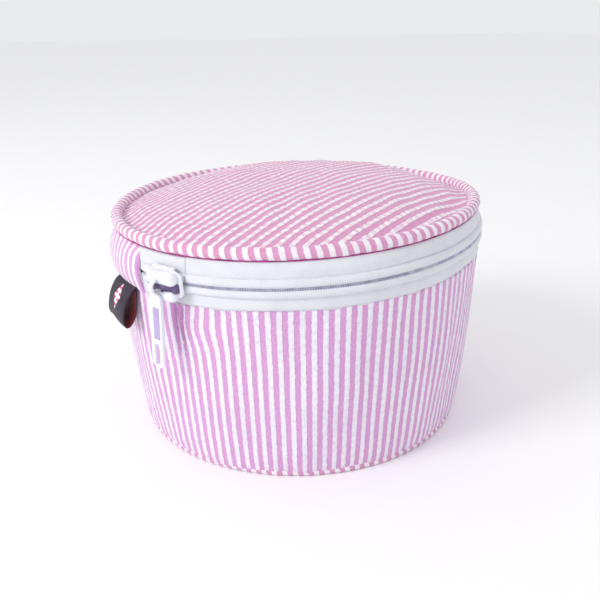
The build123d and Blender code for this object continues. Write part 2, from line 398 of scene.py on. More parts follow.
@dataclass(frozen=True)
class HerringboneTape:
    """White polyester tape woven in narrow herringbone columns."""

    name: str = "zip_tape"
    white: Colour = srgb(248, 250, 253)
    shade: Colour = srgb(202, 203, 220)
    column: float = 0.0027
    rib: float = 0.00105
    depth: float = 0.00024

    def material(self) -> bpy.types.Material:
        """Build the tape's node tree."""
        graph = NodeGraph(self.name)
        along, across = graph.uv()
        zigzag = graph.math("PINGPONG", across, self.column)
        slanted = graph.math("ADD", along, zigzag)
        rib = graph.ribs(slanted, self.rib)
        column = graph.ribs(across, self.column * 2)
        fuzz = graph.streaks((along, 1700.0), (across, 1700.0), 3.0, 0.65)
        soft = graph.noise(graph.join(along, across), 90.0, 2.0)
        tint = graph.math("MULTIPLY", graph.math("SUBTRACT", 1.0, rib), 0.55)
        tint = graph.math("MULTIPLY_ADD", graph.remap(fuzz, 0.5, 0.8), 0.3, tint)
        tint = graph.math("MULTIPLY_ADD", graph.remap(soft, 0.4, 0.8), 0.15, tint)
        colour = graph.mix(tint, self.white, self.shade)
        height = graph.math("MULTIPLY_ADD", column, 0.25, graph.math("MULTIPLY_ADD", fuzz, 0.35, rib))
        normal = graph.bump(height, self.depth, 0.9)
        rough = graph.remap(fuzz, 0.3, 0.8, 0.5, 0.72)
        return graph.surface(colour, normal, rough, Sheen_Weight=0.15, Specular_IOR_Level=0.35)


@dataclass(frozen=True)
class Nylon:
    """White nylon, as the zip's coil and its sewing thread."""

    name: str = "zip_nylon"
    white: Colour = srgb(236, 238, 246)
    shade: Colour = srgb(212, 214, 230)
    roughness: float = 0.38

    def material(self) -> bpy.types.Material:
        """Build the nylon's node tree."""
        graph = NodeGraph(self.name)
        place = graph.place()
        cloud = graph.noise(place, 240.0, 2.0)
        fine = graph.noise(place, 2600.0, 2.0)
        colour = graph.mix(graph.remap(cloud, 0.3, 0.75), self.white, self.shade)
        normal = graph.bump(fine, 0.00003, 0.5)
        rough = graph.remap(fine, 0.3, 0.8, self.roughness - 0.08, self.roughness + 0.1)
        return graph.surface(colour, normal, rough, Subsurface_Weight=0.08,
                             Subsurface_Radius=(0.001, 0.001, 0.001))


@dataclass(frozen=True)
class Enamel:
    """Glossy white enamel over die-cast zinc, a little thin on the raised edges."""

    name: str = "white_enamel"
    white: Colour = srgb(240, 242, 248)
    shade: Colour = srgb(214, 217, 232)
    roughness: float = 0.24

    def material(self) -> bpy.types.Material:
        """Build the enamel's node tree."""
        graph = NodeGraph(self.name)
        place = graph.place()
        cloud = graph.noise(place, 150.0, 3.0)
        peel = graph.noise(place, 900.0, 2.0)
        scuff = graph.noise(place, 2100.0, 3.0, 0.7)
        colour = graph.mix(graph.remap(cloud, 0.4, 0.8, 0.0, 0.6), self.white, self.shade)
        normal = graph.bump(peel, 0.00006, 0.35)
        rough = graph.remap(scuff, 0.35, 0.75, self.roughness - 0.06, self.roughness + 0.16)
        return graph.surface(colour, normal, rough, Coat_Weight=0.35, Coat_Roughness=0.12)


@dataclass(frozen=True)
class Ribbon:
    """Dark woven ribbon with a column of plain lozenges, and a red back."""

    name: str = "label_ribbon"
    ground: Colour = srgb(20, 6, 27)
    ground_light: Colour = srgb(40, 20, 50)
    warm_lit_colours: Colour = srgb(226, 84, 142)
    white: Colour = srgb(244, 238, 244)
    half_width: float = 0.0046
    half_height: float = 0.0072
    stripe: float = 0.0030

    def material(self) -> bpy.types.Material:
        """Build the ribbon's face."""
        graph = NodeGraph(self.name)
        across, along = graph.uv()
        rib = graph.ribs(along, 0.00042)
        fuzz = graph.streaks((across, 1800.0), (along, 1800.0), 2.0)
        side = graph.math("DIVIDE", graph.math("ABSOLUTE", across), self.half_width)
        rise = graph.math("DIVIDE", graph.math("ABSOLUTE", along), self.half_height)
        reach = graph.math("ADD", side, rise)
        lozenge = graph.remap(reach, 0.94, 1.0, 1.0, 0.0)
        centre = graph.remap(reach, 0.40, 0.46, 1.0, 0.0)
        band = graph.remap(graph.math("PINGPONG", graph.math("DIVIDE", along, self.stripe), 0.5),
                           0.22, 0.28)
        figure = graph.mix(band, self.white, self.warm_lit_colours)
        figure = graph.mix(centre, figure, self.white)
        base = graph.mix(graph.math("MULTIPLY_ADD", rib, 0.5, graph.math("MULTIPLY", fuzz, 0.5)),
                         self.ground, self.ground_light)
        colour = graph.mix(lozenge, base, figure)
        height = graph.math("MULTIPLY_ADD", lozenge, 0.8, graph.math("MULTIPLY_ADD", fuzz, 0.4, rib))
        normal = graph.bump(height, 0.00012, 0.8)
        rough = graph.remap(fuzz, 0.3, 0.8, 0.5, 0.7)
        return graph.surface(colour, normal, rough, Sheen_Weight=0.05)


@dataclass(frozen=True)
class RibbonBack:
    """The ribbon's red reverse, with loose weft floats."""

    name: str = "label_reverse"
    red: Colour = srgb(150, 22, 40)
    dark: Colour = srgb(84, 10, 22)

    def material(self) -> bpy.types.Material:
        """Build the reverse's node tree."""
        graph = NodeGraph(self.name)
        across, along = graph.uv()
        rib = graph.ribs(along, 0.0005)
        fuzz = graph.streaks((across, 700.0), (along, 2400.0), 2.0)
        colour = graph.mix(graph.math("MULTIPLY", rib, fuzz), self.red, self.dark)
        normal = graph.bump(graph.math("ADD", rib, fuzz), 0.00014, 0.8)
        rough = graph.remap(fuzz, 0.3, 0.8, 0.55, 0.75)
        return graph.surface(colour, normal, rough, Sheen_Weight=0.2)


@dataclass(frozen=True)
class Padding:
    """Open-celled foam, board or cord, seen only where a cover lifts."""

    name: str
    light: Colour
    dark: Colour
    cell: float = 900.0

    def material(self) -> bpy.types.Material:
        """Build the padding's node tree."""
        graph = NodeGraph(self.name)
        place = graph.place()
        cells = graph.add("ShaderNodeTexVoronoi")
        graph.feed(cells.inputs["Vector"], place)
        cells.inputs["Scale"].default_value = self.cell
        fine = graph.noise(place, self.cell * 2, 2.0)
        colour = graph.mix(graph.remap(cells.outputs["Distance"], 0.1, 0.7), self.dark, self.light)
        normal = graph.bump(cells.outputs["Distance"], 0.0002, 0.8)
        return graph.surface(colour, normal, graph.remap(fine, 0.3, 0.8, 0.8, 0.95))


class Finishes:
    """Every material, each built once."""

    def __init__(self) -> None:
        """Build the materials."""
        self.wall = StripedCotton(name="striped_wall").material()
        # The lid and its piping take the wall's cloth in warmer, pinker colours: painted light, for the
        # warm light on top against the cooler light on the sides. The lid's white stripes also get a
        # strong painted shade between their beads.
        warm_lit_colours = {"pink": srgb(224, 158, 198), "deep_pink": srgb(206, 134, 178),
                "white": srgb(246, 240, 246), "bead_shadow_colour": srgb(238, 200, 222)}
        self.lid = StripedCotton(name="striped_lid", pucker_depth=0.00045, pucker_length=0.0036,
                                 pink_share=0.52, sway=0.0009, bead_shadow_strength=0.8, **warm_lit_colours).material()
        self.piping = StripedCotton(name="striped_piping", pucker_depth=0.00022,
                                    sway=0.0004, **warm_lit_colours).material()
        self.lining = PlainCotton().material()
        self.binding = HerringboneTape(name="binding_tape", column=0.0016, rib=0.0009).material()
        self.tape = HerringboneTape().material()
        # The coil is white nylon given a greyer colour: painted shade, for the shadow in the chain's
        # centre groove.
        self.nylon = Nylon(white=srgb(206, 204, 222), shade=srgb(164, 160, 186)).material()
        self.thread = Nylon(name="sewing_thread", roughness=0.6).material()
        # A dark magenta thread: painted shadow, for the shade in the gap where the piping overhangs the
        # tape.
        self.pink_thread = Nylon(name="pink_thread", white=srgb(176, 62, 138),
                                 shade=srgb(126, 30, 96), roughness=0.75).material()
        self.enamel = Enamel().material()
        # A dark violet enamel: painted shade, for the dark slit under the slider's hood and the arch
        # inside it.
        self.shaded = Enamel(name="painted_shade_enamel", white=srgb(92, 74, 120), shade=srgb(58, 44, 86),
                             roughness=0.45).material()
        # A lavender enamel: painted shade, for the shadow inside the pull's recess.
        self.lilac_recess_shade = Enamel(name="painted_recess_shade", white=srgb(184, 166, 208),
                            shade=srgb(164, 144, 194), roughness=0.35).material()
        self.ribbon = Ribbon().material()
        self.ribbon_back = RibbonBack().material()
        self.foam = Padding("foam", srgb(240, 238, 232), srgb(214, 211, 204)).material()
        self.board = Padding("board", srgb(228, 226, 222), srgb(208, 205, 200), 1800.0).material()
        self.cord = Padding("cord", srgb(238, 236, 230), srgb(206, 203, 196), 1300.0).material()


# ---------------------------------------------------------------- mesh tools

Points = np.ndarray
Mould = Callable[[Points], Points]


def ripple(places: Points, seed: int, waves: int = 10) -> Points:
    """Smooth noise at each point, about -1 to 1, different for each seed.

    Args:
        places: Points, scaled so that a ripple is about one unit long.
        seed: Which noise.
        waves: How many plane waves are summed.

    Returns:
        One number for each point.
    """
    chooser = np.random.default_rng(seed)
    headings = chooser.normal(size=(waves, 3))
    headings /= np.linalg.norm(headings, axis=1, keepdims=True)
    headings *= TURN * chooser.uniform(0.35, 0.95, (waves, 1))
    starts = chooser.uniform(0, TURN, waves)
    return np.sin(places @ headings.T + starts).sum(axis=1) * 0.45 / math.sqrt(waves / 2)


def sag(places: Points) -> Points:
    """How far the soft lid's edge has settled at each point's azimuth round the rim."""
    azimuth = np.degrees(np.arctan2(places[:, 1], places[:, 0])) % 360
    settled = np.zeros(len(places))
    for centre, depth, width in ((283.0, 0.0040, 42.0), (345.0, 0.0020, 42.0)):
        away = (azimuth - centre + 180) % 360 - 180
        settled += depth * np.exp(-(away / width) ** 2)
    return settled


def settle_rim(places: Points) -> Points:
    """Lower a ring at the lid's edge as the lid has settled."""
    moved = places.copy()
    moved[:, 2] -= sag(places)
    return moved


def new_piece(name: str, shape: bmesh.types.BMesh, material: bpy.types.Material,
              smooth: bool = True) -> bpy.types.Object:
    """Turn a bmesh into an object at the origin with one material."""
    mesh = bpy.data.meshes.new(name)
    shape.to_mesh(mesh)
    shape.free()
    mesh.materials.append(material)
    mesh.polygons.foreach_set("use_smooth", [smooth and len(face.vertices) < 9
                                             for face in mesh.polygons])
    piece = bpy.data.objects.new(name, mesh)
    bpy.context.scene.collection.objects.link(piece)
    return piece


def corners(mesh: bpy.types.Mesh) -> Points:
    """Every vertex's position as an array."""
    flat = np.empty(len(mesh.vertices) * 3)
    mesh.vertices.foreach_get("co", flat)
    return flat.reshape(-1, 3)


def mould(piece: bpy.types.Object, shaper: Mould) -> None:
    """Move a piece's vertices by a function of their positions."""
    mesh = piece.data
    mesh.vertices.foreach_set("co", shaper(corners(mesh)).astype(float).ravel())
    mesh.update()


def lay_out(piece: bpy.types.Object, flatten: Callable[[Points, Points], Points]) -> None:
    """Give a piece its flat layout in metres.

    Args:
        piece: The piece.
        flatten: Takes each face corner's position and its face's centre, gives (across, along).
    """
    mesh = piece.data
    layer = mesh.uv_layers.new(name="layout")
    index = np.empty(len(mesh.loops), dtype=int)
    mesh.loops.foreach_get("vertex_index", index)
    totals = np.empty(len(mesh.polygons), dtype=int)
    mesh.polygons.foreach_get("loop_total", totals)
    centres = np.empty(len(mesh.polygons) * 3)
    mesh.polygons.foreach_get("center", centres)
    middle = np.repeat(centres.reshape(-1, 3), totals, axis=0)
    flat = flatten(corners(mesh)[index], middle)
    layer.data.foreach_set("uv", flat.astype(float).ravel())


def wrap_azimuth(place: Points, middle: Points) -> Points:
    """Azimuth of each corner, kept on the same side of the join as its face."""
    face = np.arctan2(middle[:, 1], middle[:, 0])
    corner = np.arctan2(place[:, 1], place[:, 0])
    return face + np.mod(corner - face + math.pi, TURN) - math.pi


def ring_layout(radius: float, slant: float = 0.0) -> Callable[[Points, Points], Points]:
    """A layout that runs round the axis and up, its cross lines slanted a little."""
    def flatten(place: Points, middle: Points) -> Points:
        """Unroll the ring."""
        angle = wrap_azimuth(place, middle)
        return np.column_stack((angle * radius + slant * place[:, 2], place[:, 2]))
    return flatten


def spin_profile(outline: Sequence[tuple[float, float]], steps: int, start: float = 0.0,
                 sweep: float = 360.0, closed: bool = True) -> bmesh.types.BMesh:
    """Spin an outline of (radius, height) about Z.

    Args:
        outline: The section's points, in order.
        steps: Divisions round the sweep.
        start: First azimuth in degrees.
        sweep: Degrees turned.
        closed: Whether the outline's last point joins its first.

    Returns:
        The ring as a bmesh, with closed ends if it isn't a full turn.
    """
    shape = bmesh.new()
    turn = math.radians(start)
    dots = [shape.verts.new((r * math.cos(turn), r * math.sin(turn), z)) for r, z in outline]
    pairs = list(zip(dots, dots[1:]))
    if closed:
        pairs.append((dots[-1], dots[0]))
    edges = [shape.edges.new(pair) for pair in pairs]
    # One sector is spun, then repeated, which is much quicker than one long spin.
    inner = max(count for count in range(1, int(steps ** 0.5) + 1) if steps % count == 0)
    sectors = steps // inner
    bmesh.ops.spin(shape, geom=dots + edges, cent=(0, 0, 0), axis=(0, 0, 1),
                   angle=math.radians(sweep / sectors), steps=inner)
    bmesh.ops.spin(shape, geom=shape.verts[:] + shape.edges[:] + shape.faces[:], cent=(0, 0, 0),
                   axis=(0, 0, 1), angle=math.radians(sweep * (sectors - 1) / sectors),
                   steps=sectors - 1, use_duplicate=True)
    bmesh.ops.remove_doubles(shape, verts=shape.verts, dist=1e-6)
    if closed and sweep < 359.9:
        bmesh.ops.holes_fill(shape, edges=[edge for edge in shape.edges if edge.is_boundary], sides=0)
    bmesh.ops.recalc_face_normals(shape, faces=shape.faces)
    return shape


def rows(low: float, high: float, count: int) -> Iterable[float]:
    """Evenly spaced numbers, both ends included."""
    return (low + (high - low) * step / count for step in range(count + 1))


def thread_tube(name: str, path: Sequence[Vector], radius: float, material: bpy.types.Material,
                closed: bool = False) -> bpy.types.Object:
    """A thin round tube along a path, as a mesh."""
    curve = bpy.data.curves.new(name, "CURVE")
    curve.dimensions = "3D"
    curve.bevel_depth = radius
    curve.bevel_resolution = 1
    curve.use_fill_caps = True
    spline = curve.splines.new("POLY")
    spline.points.add(len(path) - 1)
    for point, place in zip(spline.points, path):
        point.co = (*place, 1)
    spline.use_cyclic_u = closed
    holder = bpy.data.objects.new(name + "_path", curve)
    bpy.context.scene.collection.objects.link(holder)
    bpy.context.view_layer.update()
    mesh = bpy.data.meshes.new_from_object(holder)
    bpy.data.objects.remove(holder)
    mesh.name = name
    mesh.materials.clear()
    mesh.materials.append(material)
    mesh.polygons.foreach_set("use_smooth", [True] * len(mesh.polygons))
    piece = bpy.data.objects.new(name, mesh)
    bpy.context.scene.collection.objects.link(piece)
    return piece


def rounded_box(size: Vector, centre: Vector, rounding: float, segments: int) -> bmesh.types.BMesh:
    """A box about a centre with its edges rounded."""
    shape = bmesh.new()
    bmesh.ops.create_cube(shape, size=1.0)
    bmesh.ops.scale(shape, verts=shape.verts, vec=size)
    bmesh.ops.translate(shape, verts=shape.verts, vec=centre)
    bmesh.ops.bevel(shape, geom=shape.edges[:], offset=rounding, segments=segments, profile=0.5,
                    affect="EDGES", material=-1)
    return shape


def thicken(shape: bmesh.types.BMesh, height: float) -> None:
    """Give a flat shape a thickness, upwards."""
    made = bmesh.ops.extrude_face_region(shape, geom=shape.faces[:])
    lifted = [g for g in made["geom"] if isinstance(g, bmesh.types.BMVert)]
    bmesh.ops.translate(shape, verts=lifted, vec=(0, 0, height))


def settle(piece: bpy.types.Object, body: Body, slot: Slot, *nodes: str) -> bpy.types.Object:
    """Put a finished piece on its body and hide the nodes it stands for."""
    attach(piece, body.value)
    if nodes:
        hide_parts(*nodes)
    LOG.info("%s: %d faces on %s", piece.name, len(piece.data.polygons), body.value)
    return piece


# ---------------------------------------------------------------- the drum


@dataclass
class Drum:
    """The striped wall, its lining and the base with its welt."""

    finishes: Finishes
    steps: int = 720
    wall_rows: int = 66
    foot_height: float = 0.0022
    foot_radius: float = 0.0909
    belly: float = 0.0011
    tuck: float = 0.0026
    tuck_height: float = 0.0032
    cloth: float = 0.0010
    lining_depth: float = 0.0037
    lining: float = 0.0006
    lean_of_rim: float = field(init=False)

    def __post_init__(self) -> None:
        """Work out how far the wall's top edge rises per metre towards the front."""
        self.lean_of_rim = RIM.up.y / RIM.up.z

    def radius_at(self, height: float) -> float:
        """Outer radius of the wall cloth at a height, before it creases."""
        share = height / RIM.origin.z
        lean = self.foot_radius + (SIZES.seam_radius - self.foot_radius) * share
        return (lean + self.belly * math.sin(math.pi * min(share, 1.0))
                - self.tuck * math.exp(-height / self.tuck_height))

    def creases(self, places: Points) -> Points:
        """How far the cloth stands out or falls in at each point of the wall."""
        share = np.clip(places[:, 2] / RIM.origin.z, 0, 1)
        loose = np.sin(math.pi * share) ** 0.6
        moved = loose * (0.0013 * ripple(places * (30, 30, 9), 1)
                         + 0.00045 * ripple(places * (95, 95, 24), 2))
        # Short gathers stand under the zip and above the welt.
        near_top = np.exp(-((1 - share) / 0.07) ** 2)
        near_foot = np.exp(-(share / 0.10) ** 2)
        gather = ripple(places * (170, 170, 20), 3)
        return moved + (0.00035 * near_top + 0.00055 * near_foot) * gather

    def folds(self, places: Points) -> tuple[Points, Points]:
        """The two deep folds where the slider drags the seam down.

        Args:
            places: Points of the wall before its top is tilted.

        Returns:
            How far each point falls in, and how many degrees it is drawn along the seam.
        """
        down = 1 - np.clip(places[:, 2] / RIM.origin.z, 0, 1)
        azimuth = np.degrees(np.arctan2(places[:, 1], places[:, 0])) % 360
        sunk = np.zeros(len(places))
        for centre, slant, depth, reach in ((116.2, -1.1, 0.0038, 0.27), (118.6, -0.9, 0.0028, 0.23)):
            side = azimuth - centre - slant * down / reach
            fade = (1 - np.exp(-(down / 0.02) ** 2)) / (1 + np.exp((down - reach) / 0.03))
            sunk -= depth * np.exp(-(side / 0.72) ** 2) * fade
            sunk += 0.3 * depth * np.exp(-((side - 1.6) / 1.0) ** 2) * fade
        drawn = -1.5 * np.exp(-((down - 0.13) / 0.10) ** 2 - ((azimuth - 124) / 6.5) ** 2)
        return sunk, drawn

    def seat(self, places: Points) -> Points:
        """Crease and fold a wall layer, less towards the inside, and lean its top to the rim."""
        flat = np.hypot(places[:, 0], places[:, 1])
        outer = np.array([self.radius_at(z) for z in places[:, 2]])
        depth = np.clip(1 - 0.72 * (outer - flat) / self.lining_depth, 0.1, 1)
        round_box = places * (SIZES.seam_radius / flat)[:, None]
        round_box[:, 2] = places[:, 2]
        sunk, drawn = self.folds(round_box)
        pucker = 0.00013 * ripple(places * (480, 480, 260), 4) * depth ** 4
        reach = flat + (self.creases(round_box) + sunk) * depth + pucker
        turn = np.arctan2(places[:, 1], places[:, 0]) + np.radians(drawn)
        top = RIM.origin.z - self.lean_of_rim * SIZES.seam_radius * np.sin(turn)
        return np.column_stack((reach * np.cos(turn), reach * np.sin(turn),
                                places[:, 2] * top / RIM.origin.z))

    def layer(self, name: str, inset: float, thickness: float, outer_rows: int,
              steps: int, material: bpy.types.Material) -> bpy.types.Object:
        """One layer of the wall, as a closed ring between two offsets of its outer face."""
        heights = list(rows(self.foot_height, RIM.origin.z, outer_rows))
        face = [(self.radius_at(z) - inset, z) for z in heights]
        back_rows = rows(RIM.origin.z, self.foot_height, max(8, outer_rows // 5))
        back = [(self.radius_at(z) - inset - thickness, z) for z in back_rows]
        piece = new_piece(name, spin_profile(face + back, steps), material)
        round_wall = SIZES.wall_stripes * SIZES.stripe_pitch / TURN
        lay_out(piece, ring_layout(round_wall))
        return piece

    def build(self) -> None:
        """Make the wall, its padding and lining, and the base."""
        wall = self.layer("wall_cover", 0.0, self.cloth, self.wall_rows, self.steps,
                          self.finishes.wall)
        mould(wall, self.seat)
        settle(wall, Body.CASE, Slot.STRIPED, "wall_outer")
        padding = self.layer("wall_padding", self.cloth + 0.0001, 0.0020, 40, self.steps,
                             self.finishes.foam)
        mould(padding, self.seat)
        settle(padding, Body.CASE, Slot.FOAM, "wall_foam")
        lining = self.layer("wall_lining_cloth", self.lining_depth, self.lining, 40, 480,
                            self.finishes.lining)
        mould(lining, self.seat)
        settle(lining, Body.CASE, Slot.LINING, "wall_lining")
        self.build_base()

    def build_base(self) -> None:
        """Make the base cloth, the welt round it, and the floor lining."""
        disc_radius = SIZES.base_radius - 0.0021
        discs = (
            ("base_cover", 0.0, 0.0011, disc_radius, self.finishes.wall, Slot.STRIPED, "base_outer"),
            ("floor_lining", 0.0030, 0.0006, disc_radius - 0.0020, self.finishes.lining,
             Slot.LINING, "base_lining"),
        )
        for name, low, thickness, radius, material, slot, node in discs:
            under = [(r, low + 0.00012 * math.sin(r * 900) ** 2) for r in rows(0, radius, 30)]
            over = [(r, low + thickness) for r in rows(radius, 0, 30)]
            piece = new_piece(name, spin_profile(under + over, 180, closed=False), material)
            lay_out(piece, lambda place, middle: place[:, :2])
            settle(piece, Body.CASE, slot, node)
        welt = roll("base_welt", SIZES.base_radius, 0.0020, 0.0020, 540, self.finishes.piping,
                    count=round(TURN * SIZES.base_radius / SIZES.stripe_pitch))
        settle(welt, Body.CASE, Slot.STRIPED, "base_welt_cover")
        inner = disc_radius - 0.0026
        binding = [(inner, 0.0036), (inner, 0.0080), (inner - 0.0002, 0.0115),
                   (inner - 0.0009, 0.0115), (inner - 0.0008, 0.0080), (inner - 0.0010, 0.0036)]
        strip = new_piece("base_binding", spin_profile(binding, 240), self.finishes.binding)
        lay_out(strip, ring_layout(inner))
        settle(strip, Body.CASE, Slot.BINDING, "base_seam_binding")


def roll(name: str, circle: float, height: float, radius: float, steps: int,
         material: bpy.types.Material, count: int, slant: float = 0.18,
         lumps: float = 0.00010) -> bpy.types.Object:
    """A rope of piping round the box's axis, its stripes wound at a slant.

    Args:
        name: The piece's name.
        circle: Radius of the ring the rope follows.
        height: Height of the rope's centre.
        radius: The rope's own radius.
        steps: Divisions round the ring.
        material: Its cloth.
        count: Stripes round the ring.
        slant: How far the stripes lean as they cross the rope.
        lumps: How uneven the rope is.

    Returns:
        The piping, level and round the Z axis.
    """
    sides = 20
    outline = [(circle + radius * math.cos(TURN * k / sides), height + radius * math.sin(TURN * k / sides))
               for k in range(sides)]
    piece = new_piece(name, spin_profile(outline, steps), material)

    def flatten(place: Points, middle: Points) -> Points:
        """Wind the stripes round the rope."""
        angle = wrap_azimuth(place, middle)
        out = np.hypot(place[:, 0], place[:, 1]) - circle
        out_middle = np.hypot(middle[:, 0], middle[:, 1]) - circle
        about_face = np.arctan2(middle[:, 2] - height, out_middle)
        about = np.arctan2(place[:, 2] - height, out)
        about = about_face + np.mod(about - about_face + math.pi, TURN) - math.pi
        wound = angle / TURN * count * SIZES.stripe_pitch + slant * about * radius
        return np.column_stack((wound, about * radius))

    def uneven(places: Points) -> Points:
        """Swell the rope a little here and there."""
        flat = np.hypot(places[:, 0], places[:, 1])
        centre = places * (circle / flat)[:, None]
        centre[:, 2] = height
        swell = lumps / radius * (1.6 * ripple(centre * 160, 7) + ripple(places * 620, 8))
        return centre + (places - centre) * (1 + swell)[:, None]

    lay_out(piece, flatten)
    mould(piece, uneven)
    return piece


# ---------------------------------------------------------------- the lid


@dataclass
class Lid:
    """The domed striped lid, its piping and its lining."""

    finishes: Finishes
    steps: int = 540
    cover_rows: int = 66
    edge_height: float = 0.0252
    cloth: float = 0.0010
    padding: float = 0.0018
    fullness: float = 2.7
    stripe_turn: float = 21.5
    full_at: tuple[float, float] = (0.052, -0.014)
    full_spread: float = 0.040
    full_rise: float = 0.0016

    def top_at(self, radius: float) -> float:
        """Height of the lid's outer face at a distance from its centre."""
        share = min(radius / SIZES.lid_radius, 1.0)
        return self.edge_height + (SIZES.lid_rise - self.edge_height) * (1 - share ** self.fullness)

    def dimple(self, places: Points) -> Points:
        """How far the lid's cloth stands up or sinks at each point."""
        share = np.hypot(places[:, 0], places[:, 1]) / SIZES.lid_radius
        azimuth = np.degrees(np.arctan2(places[:, 1], places[:, 0])) % 360
        loose = np.clip((1 - share) / 0.12, 0, 1)
        level = places * (1, 1, 0)
        moved = loose * (0.0010 * ripple(level * 22, 11) + 0.00035 * ripple(level * 75, 12))
        # The cloth sinks beside the piping, most of all at the right of the front.
        edge = np.exp(-((1 - share - 0.055) / 0.045) ** 2)
        side = np.exp(-((azimuth - 195) / 34) ** 2)
        moved -= edge * (0.0005 + 0.0011 * side)
        gather = ripple(level * 150 / np.maximum(share, 0.2)[:, None], 13)
        return moved + 0.00026 * gather * np.exp(-((1 - share) / 0.10) ** 2)

    def turned(self, places: Points) -> tuple[Points, Points]:
        """Distances across and along the lid's stripes."""
        turn = math.radians(self.stripe_turn)
        return (places[:, 0] * math.cos(turn) + places[:, 1] * math.sin(turn),
                places[:, 1] * math.cos(turn) - places[:, 0] * math.sin(turn))

    def crease(self, places: Points) -> Points:
        """Settle the lid's cloth, its white stripes beading between the flat pink ones."""
        across, along = self.turned(places)
        white = 0.5 - 0.5 * np.cos(TURN * across / SIZES.stripe_pitch)
        stripe = np.floor(across / SIZES.stripe_pitch)
        bead = 0.5 + 0.5 * np.cos(TURN * (along / 0.0044 + 0.618 * stripe)
                                  + 2.2 * ripple(places * (90, 90, 0), 14))
        moved = places.copy()
        moved[:, 2] += self.dimple(places) + 0.00034 * white * bead
        # The padding is fullest towards the far left, where it stands over the piping.
        full = np.hypot(places[:, 0] - self.full_at[0], places[:, 1] - self.full_at[1]) / self.full_spread
        moved[:, 2] += self.full_rise * np.exp(-full ** 2)
        share = np.hypot(places[:, 0], places[:, 1]) / SIZES.lid_radius
        moved[:, 2] -= sag(places) * np.clip((share - 0.62) / 0.36, 0, 1) ** 2
        return moved

    def disc(self, name: str, drop: float, thickness: float, radius: float, count: int,
             steps: int, material: bpy.types.Material) -> bpy.types.Object:
        """One layer of the lid, closed above and below."""
        over = [(r, self.top_at(r) - drop) for r in rows(0, radius, count)]
        under = [(r, self.top_at(r) - drop - thickness) for r in rows(radius, 0, max(10, count // 4))]
        piece = new_piece(name, spin_profile(over + under, steps, closed=False), material)
        lay_out(piece, lambda place, middle: np.column_stack(self.turned(place)))
        return piece

    def build(self) -> None:
        """Make the lid's layers and piping."""
        cover = self.disc("lid_cover", 0.0, self.cloth, SIZES.lid_radius + 0.0012,
                          self.cover_rows, self.steps, self.finishes.lid)
        padding = self.disc("lid_padding", self.cloth + 0.0001, self.padding - 0.0002,
                            SIZES.lid_radius, 24, 200, self.finishes.foam)
        lining = self.disc("lid_lining_cloth", self.cloth + self.padding + 0.0001, 0.0005,
                           SIZES.lid_radius - 0.0015, 40, 300, self.finishes.lining)
        for piece, slot, node, full in ((cover, Slot.STRIPED, "lid_top", 0.8),
                                        (padding, Slot.FOAM, "lid_foam", 1.0),
                                        (lining, Slot.LINING, "lid_lining", None)):
            mould(piece, self.crease)
            piece.data.transform(RIM.matrix)
            settle(piece, Body.LID, slot, node)
        piping = roll("lid_piping", SIZES.piping_circle, SIZES.piping_height, SIZES.piping_radius,
                      600, self.finishes.piping, lumps=0.00012,
                      count=round(TURN * SIZES.piping_circle / SIZES.stripe_pitch))
        cord = roll("lid_cord", SIZES.piping_circle, SIZES.piping_height, SIZES.piping_radius - 0.0010,
                    240, self.finishes.cord, count=60)
        # A thin dark tube under the piping: painted shadow, for the shade in the gap between the piping
        # and the tape.
        seam = new_piece("lid_seam_shadow_line", spin_profile(
            [(0.0972 + 0.00042 * math.cos(TURN * k / 8), 0.02325 + 0.00042 * math.sin(TURN * k / 8))
             for k in range(8)], 480), self.finishes.pink_thread)
        for piece in (piping, cord, seam):
            mould(piece, settle_rim)
            piece.data.transform(RIM.matrix)
        settle(piping, Body.LID, Slot.STRIPED, "lid_piping_cover")
        settle(cord, Body.LID, Slot.FOAM, "lid_piping_cord")
        settle(seam, Body.LID, Slot.STRIPED)
        outer = SIZES.lid_radius + 0.0003
        strip = [(outer, 0.0231), (outer - 0.0055, 0.0231), (outer - 0.0057, 0.0236), (outer, 0.0238)]
        binding = new_piece("lid_binding", spin_profile(strip, 240), self.finishes.binding)
        lay_out(binding, lambda place, middle: np.column_stack(
            (wrap_azimuth(place, middle) * outer, np.hypot(place[:, 0], place[:, 1]))))
        mould(binding, settle_rim)
        binding.data.transform(RIM.matrix)
        settle(binding, Body.LID, Slot.BINDING, "lid_seam_binding")


# ---------------------------------------------------------------- the zip


class Half(Enum):
    """The two halves of the zip, by which way they lie from the chain's centre."""

    LOWER = -1
    UPPER = 1


@dataclass(frozen=True)
class Stretch:
    """A length of the zip round the rim, and the body that it belongs to."""

    name: str
    body: Body
    start: float
    sweep: float

    def trimmed(self, margin: float) -> "Stretch":
        """The same stretch, stopping short of the hinge panel by some degrees."""
        first = max(self.start, 90 + SIZES.panel_half_angle + margin)
        last = min(self.start + self.sweep, 450 - SIZES.panel_half_angle - margin)
        if self.start < 90:
            first = self.start
            last = min(self.start + self.sweep, 90 - SIZES.panel_half_angle - margin)
        return Stretch(self.name, self.body, first, last - first)


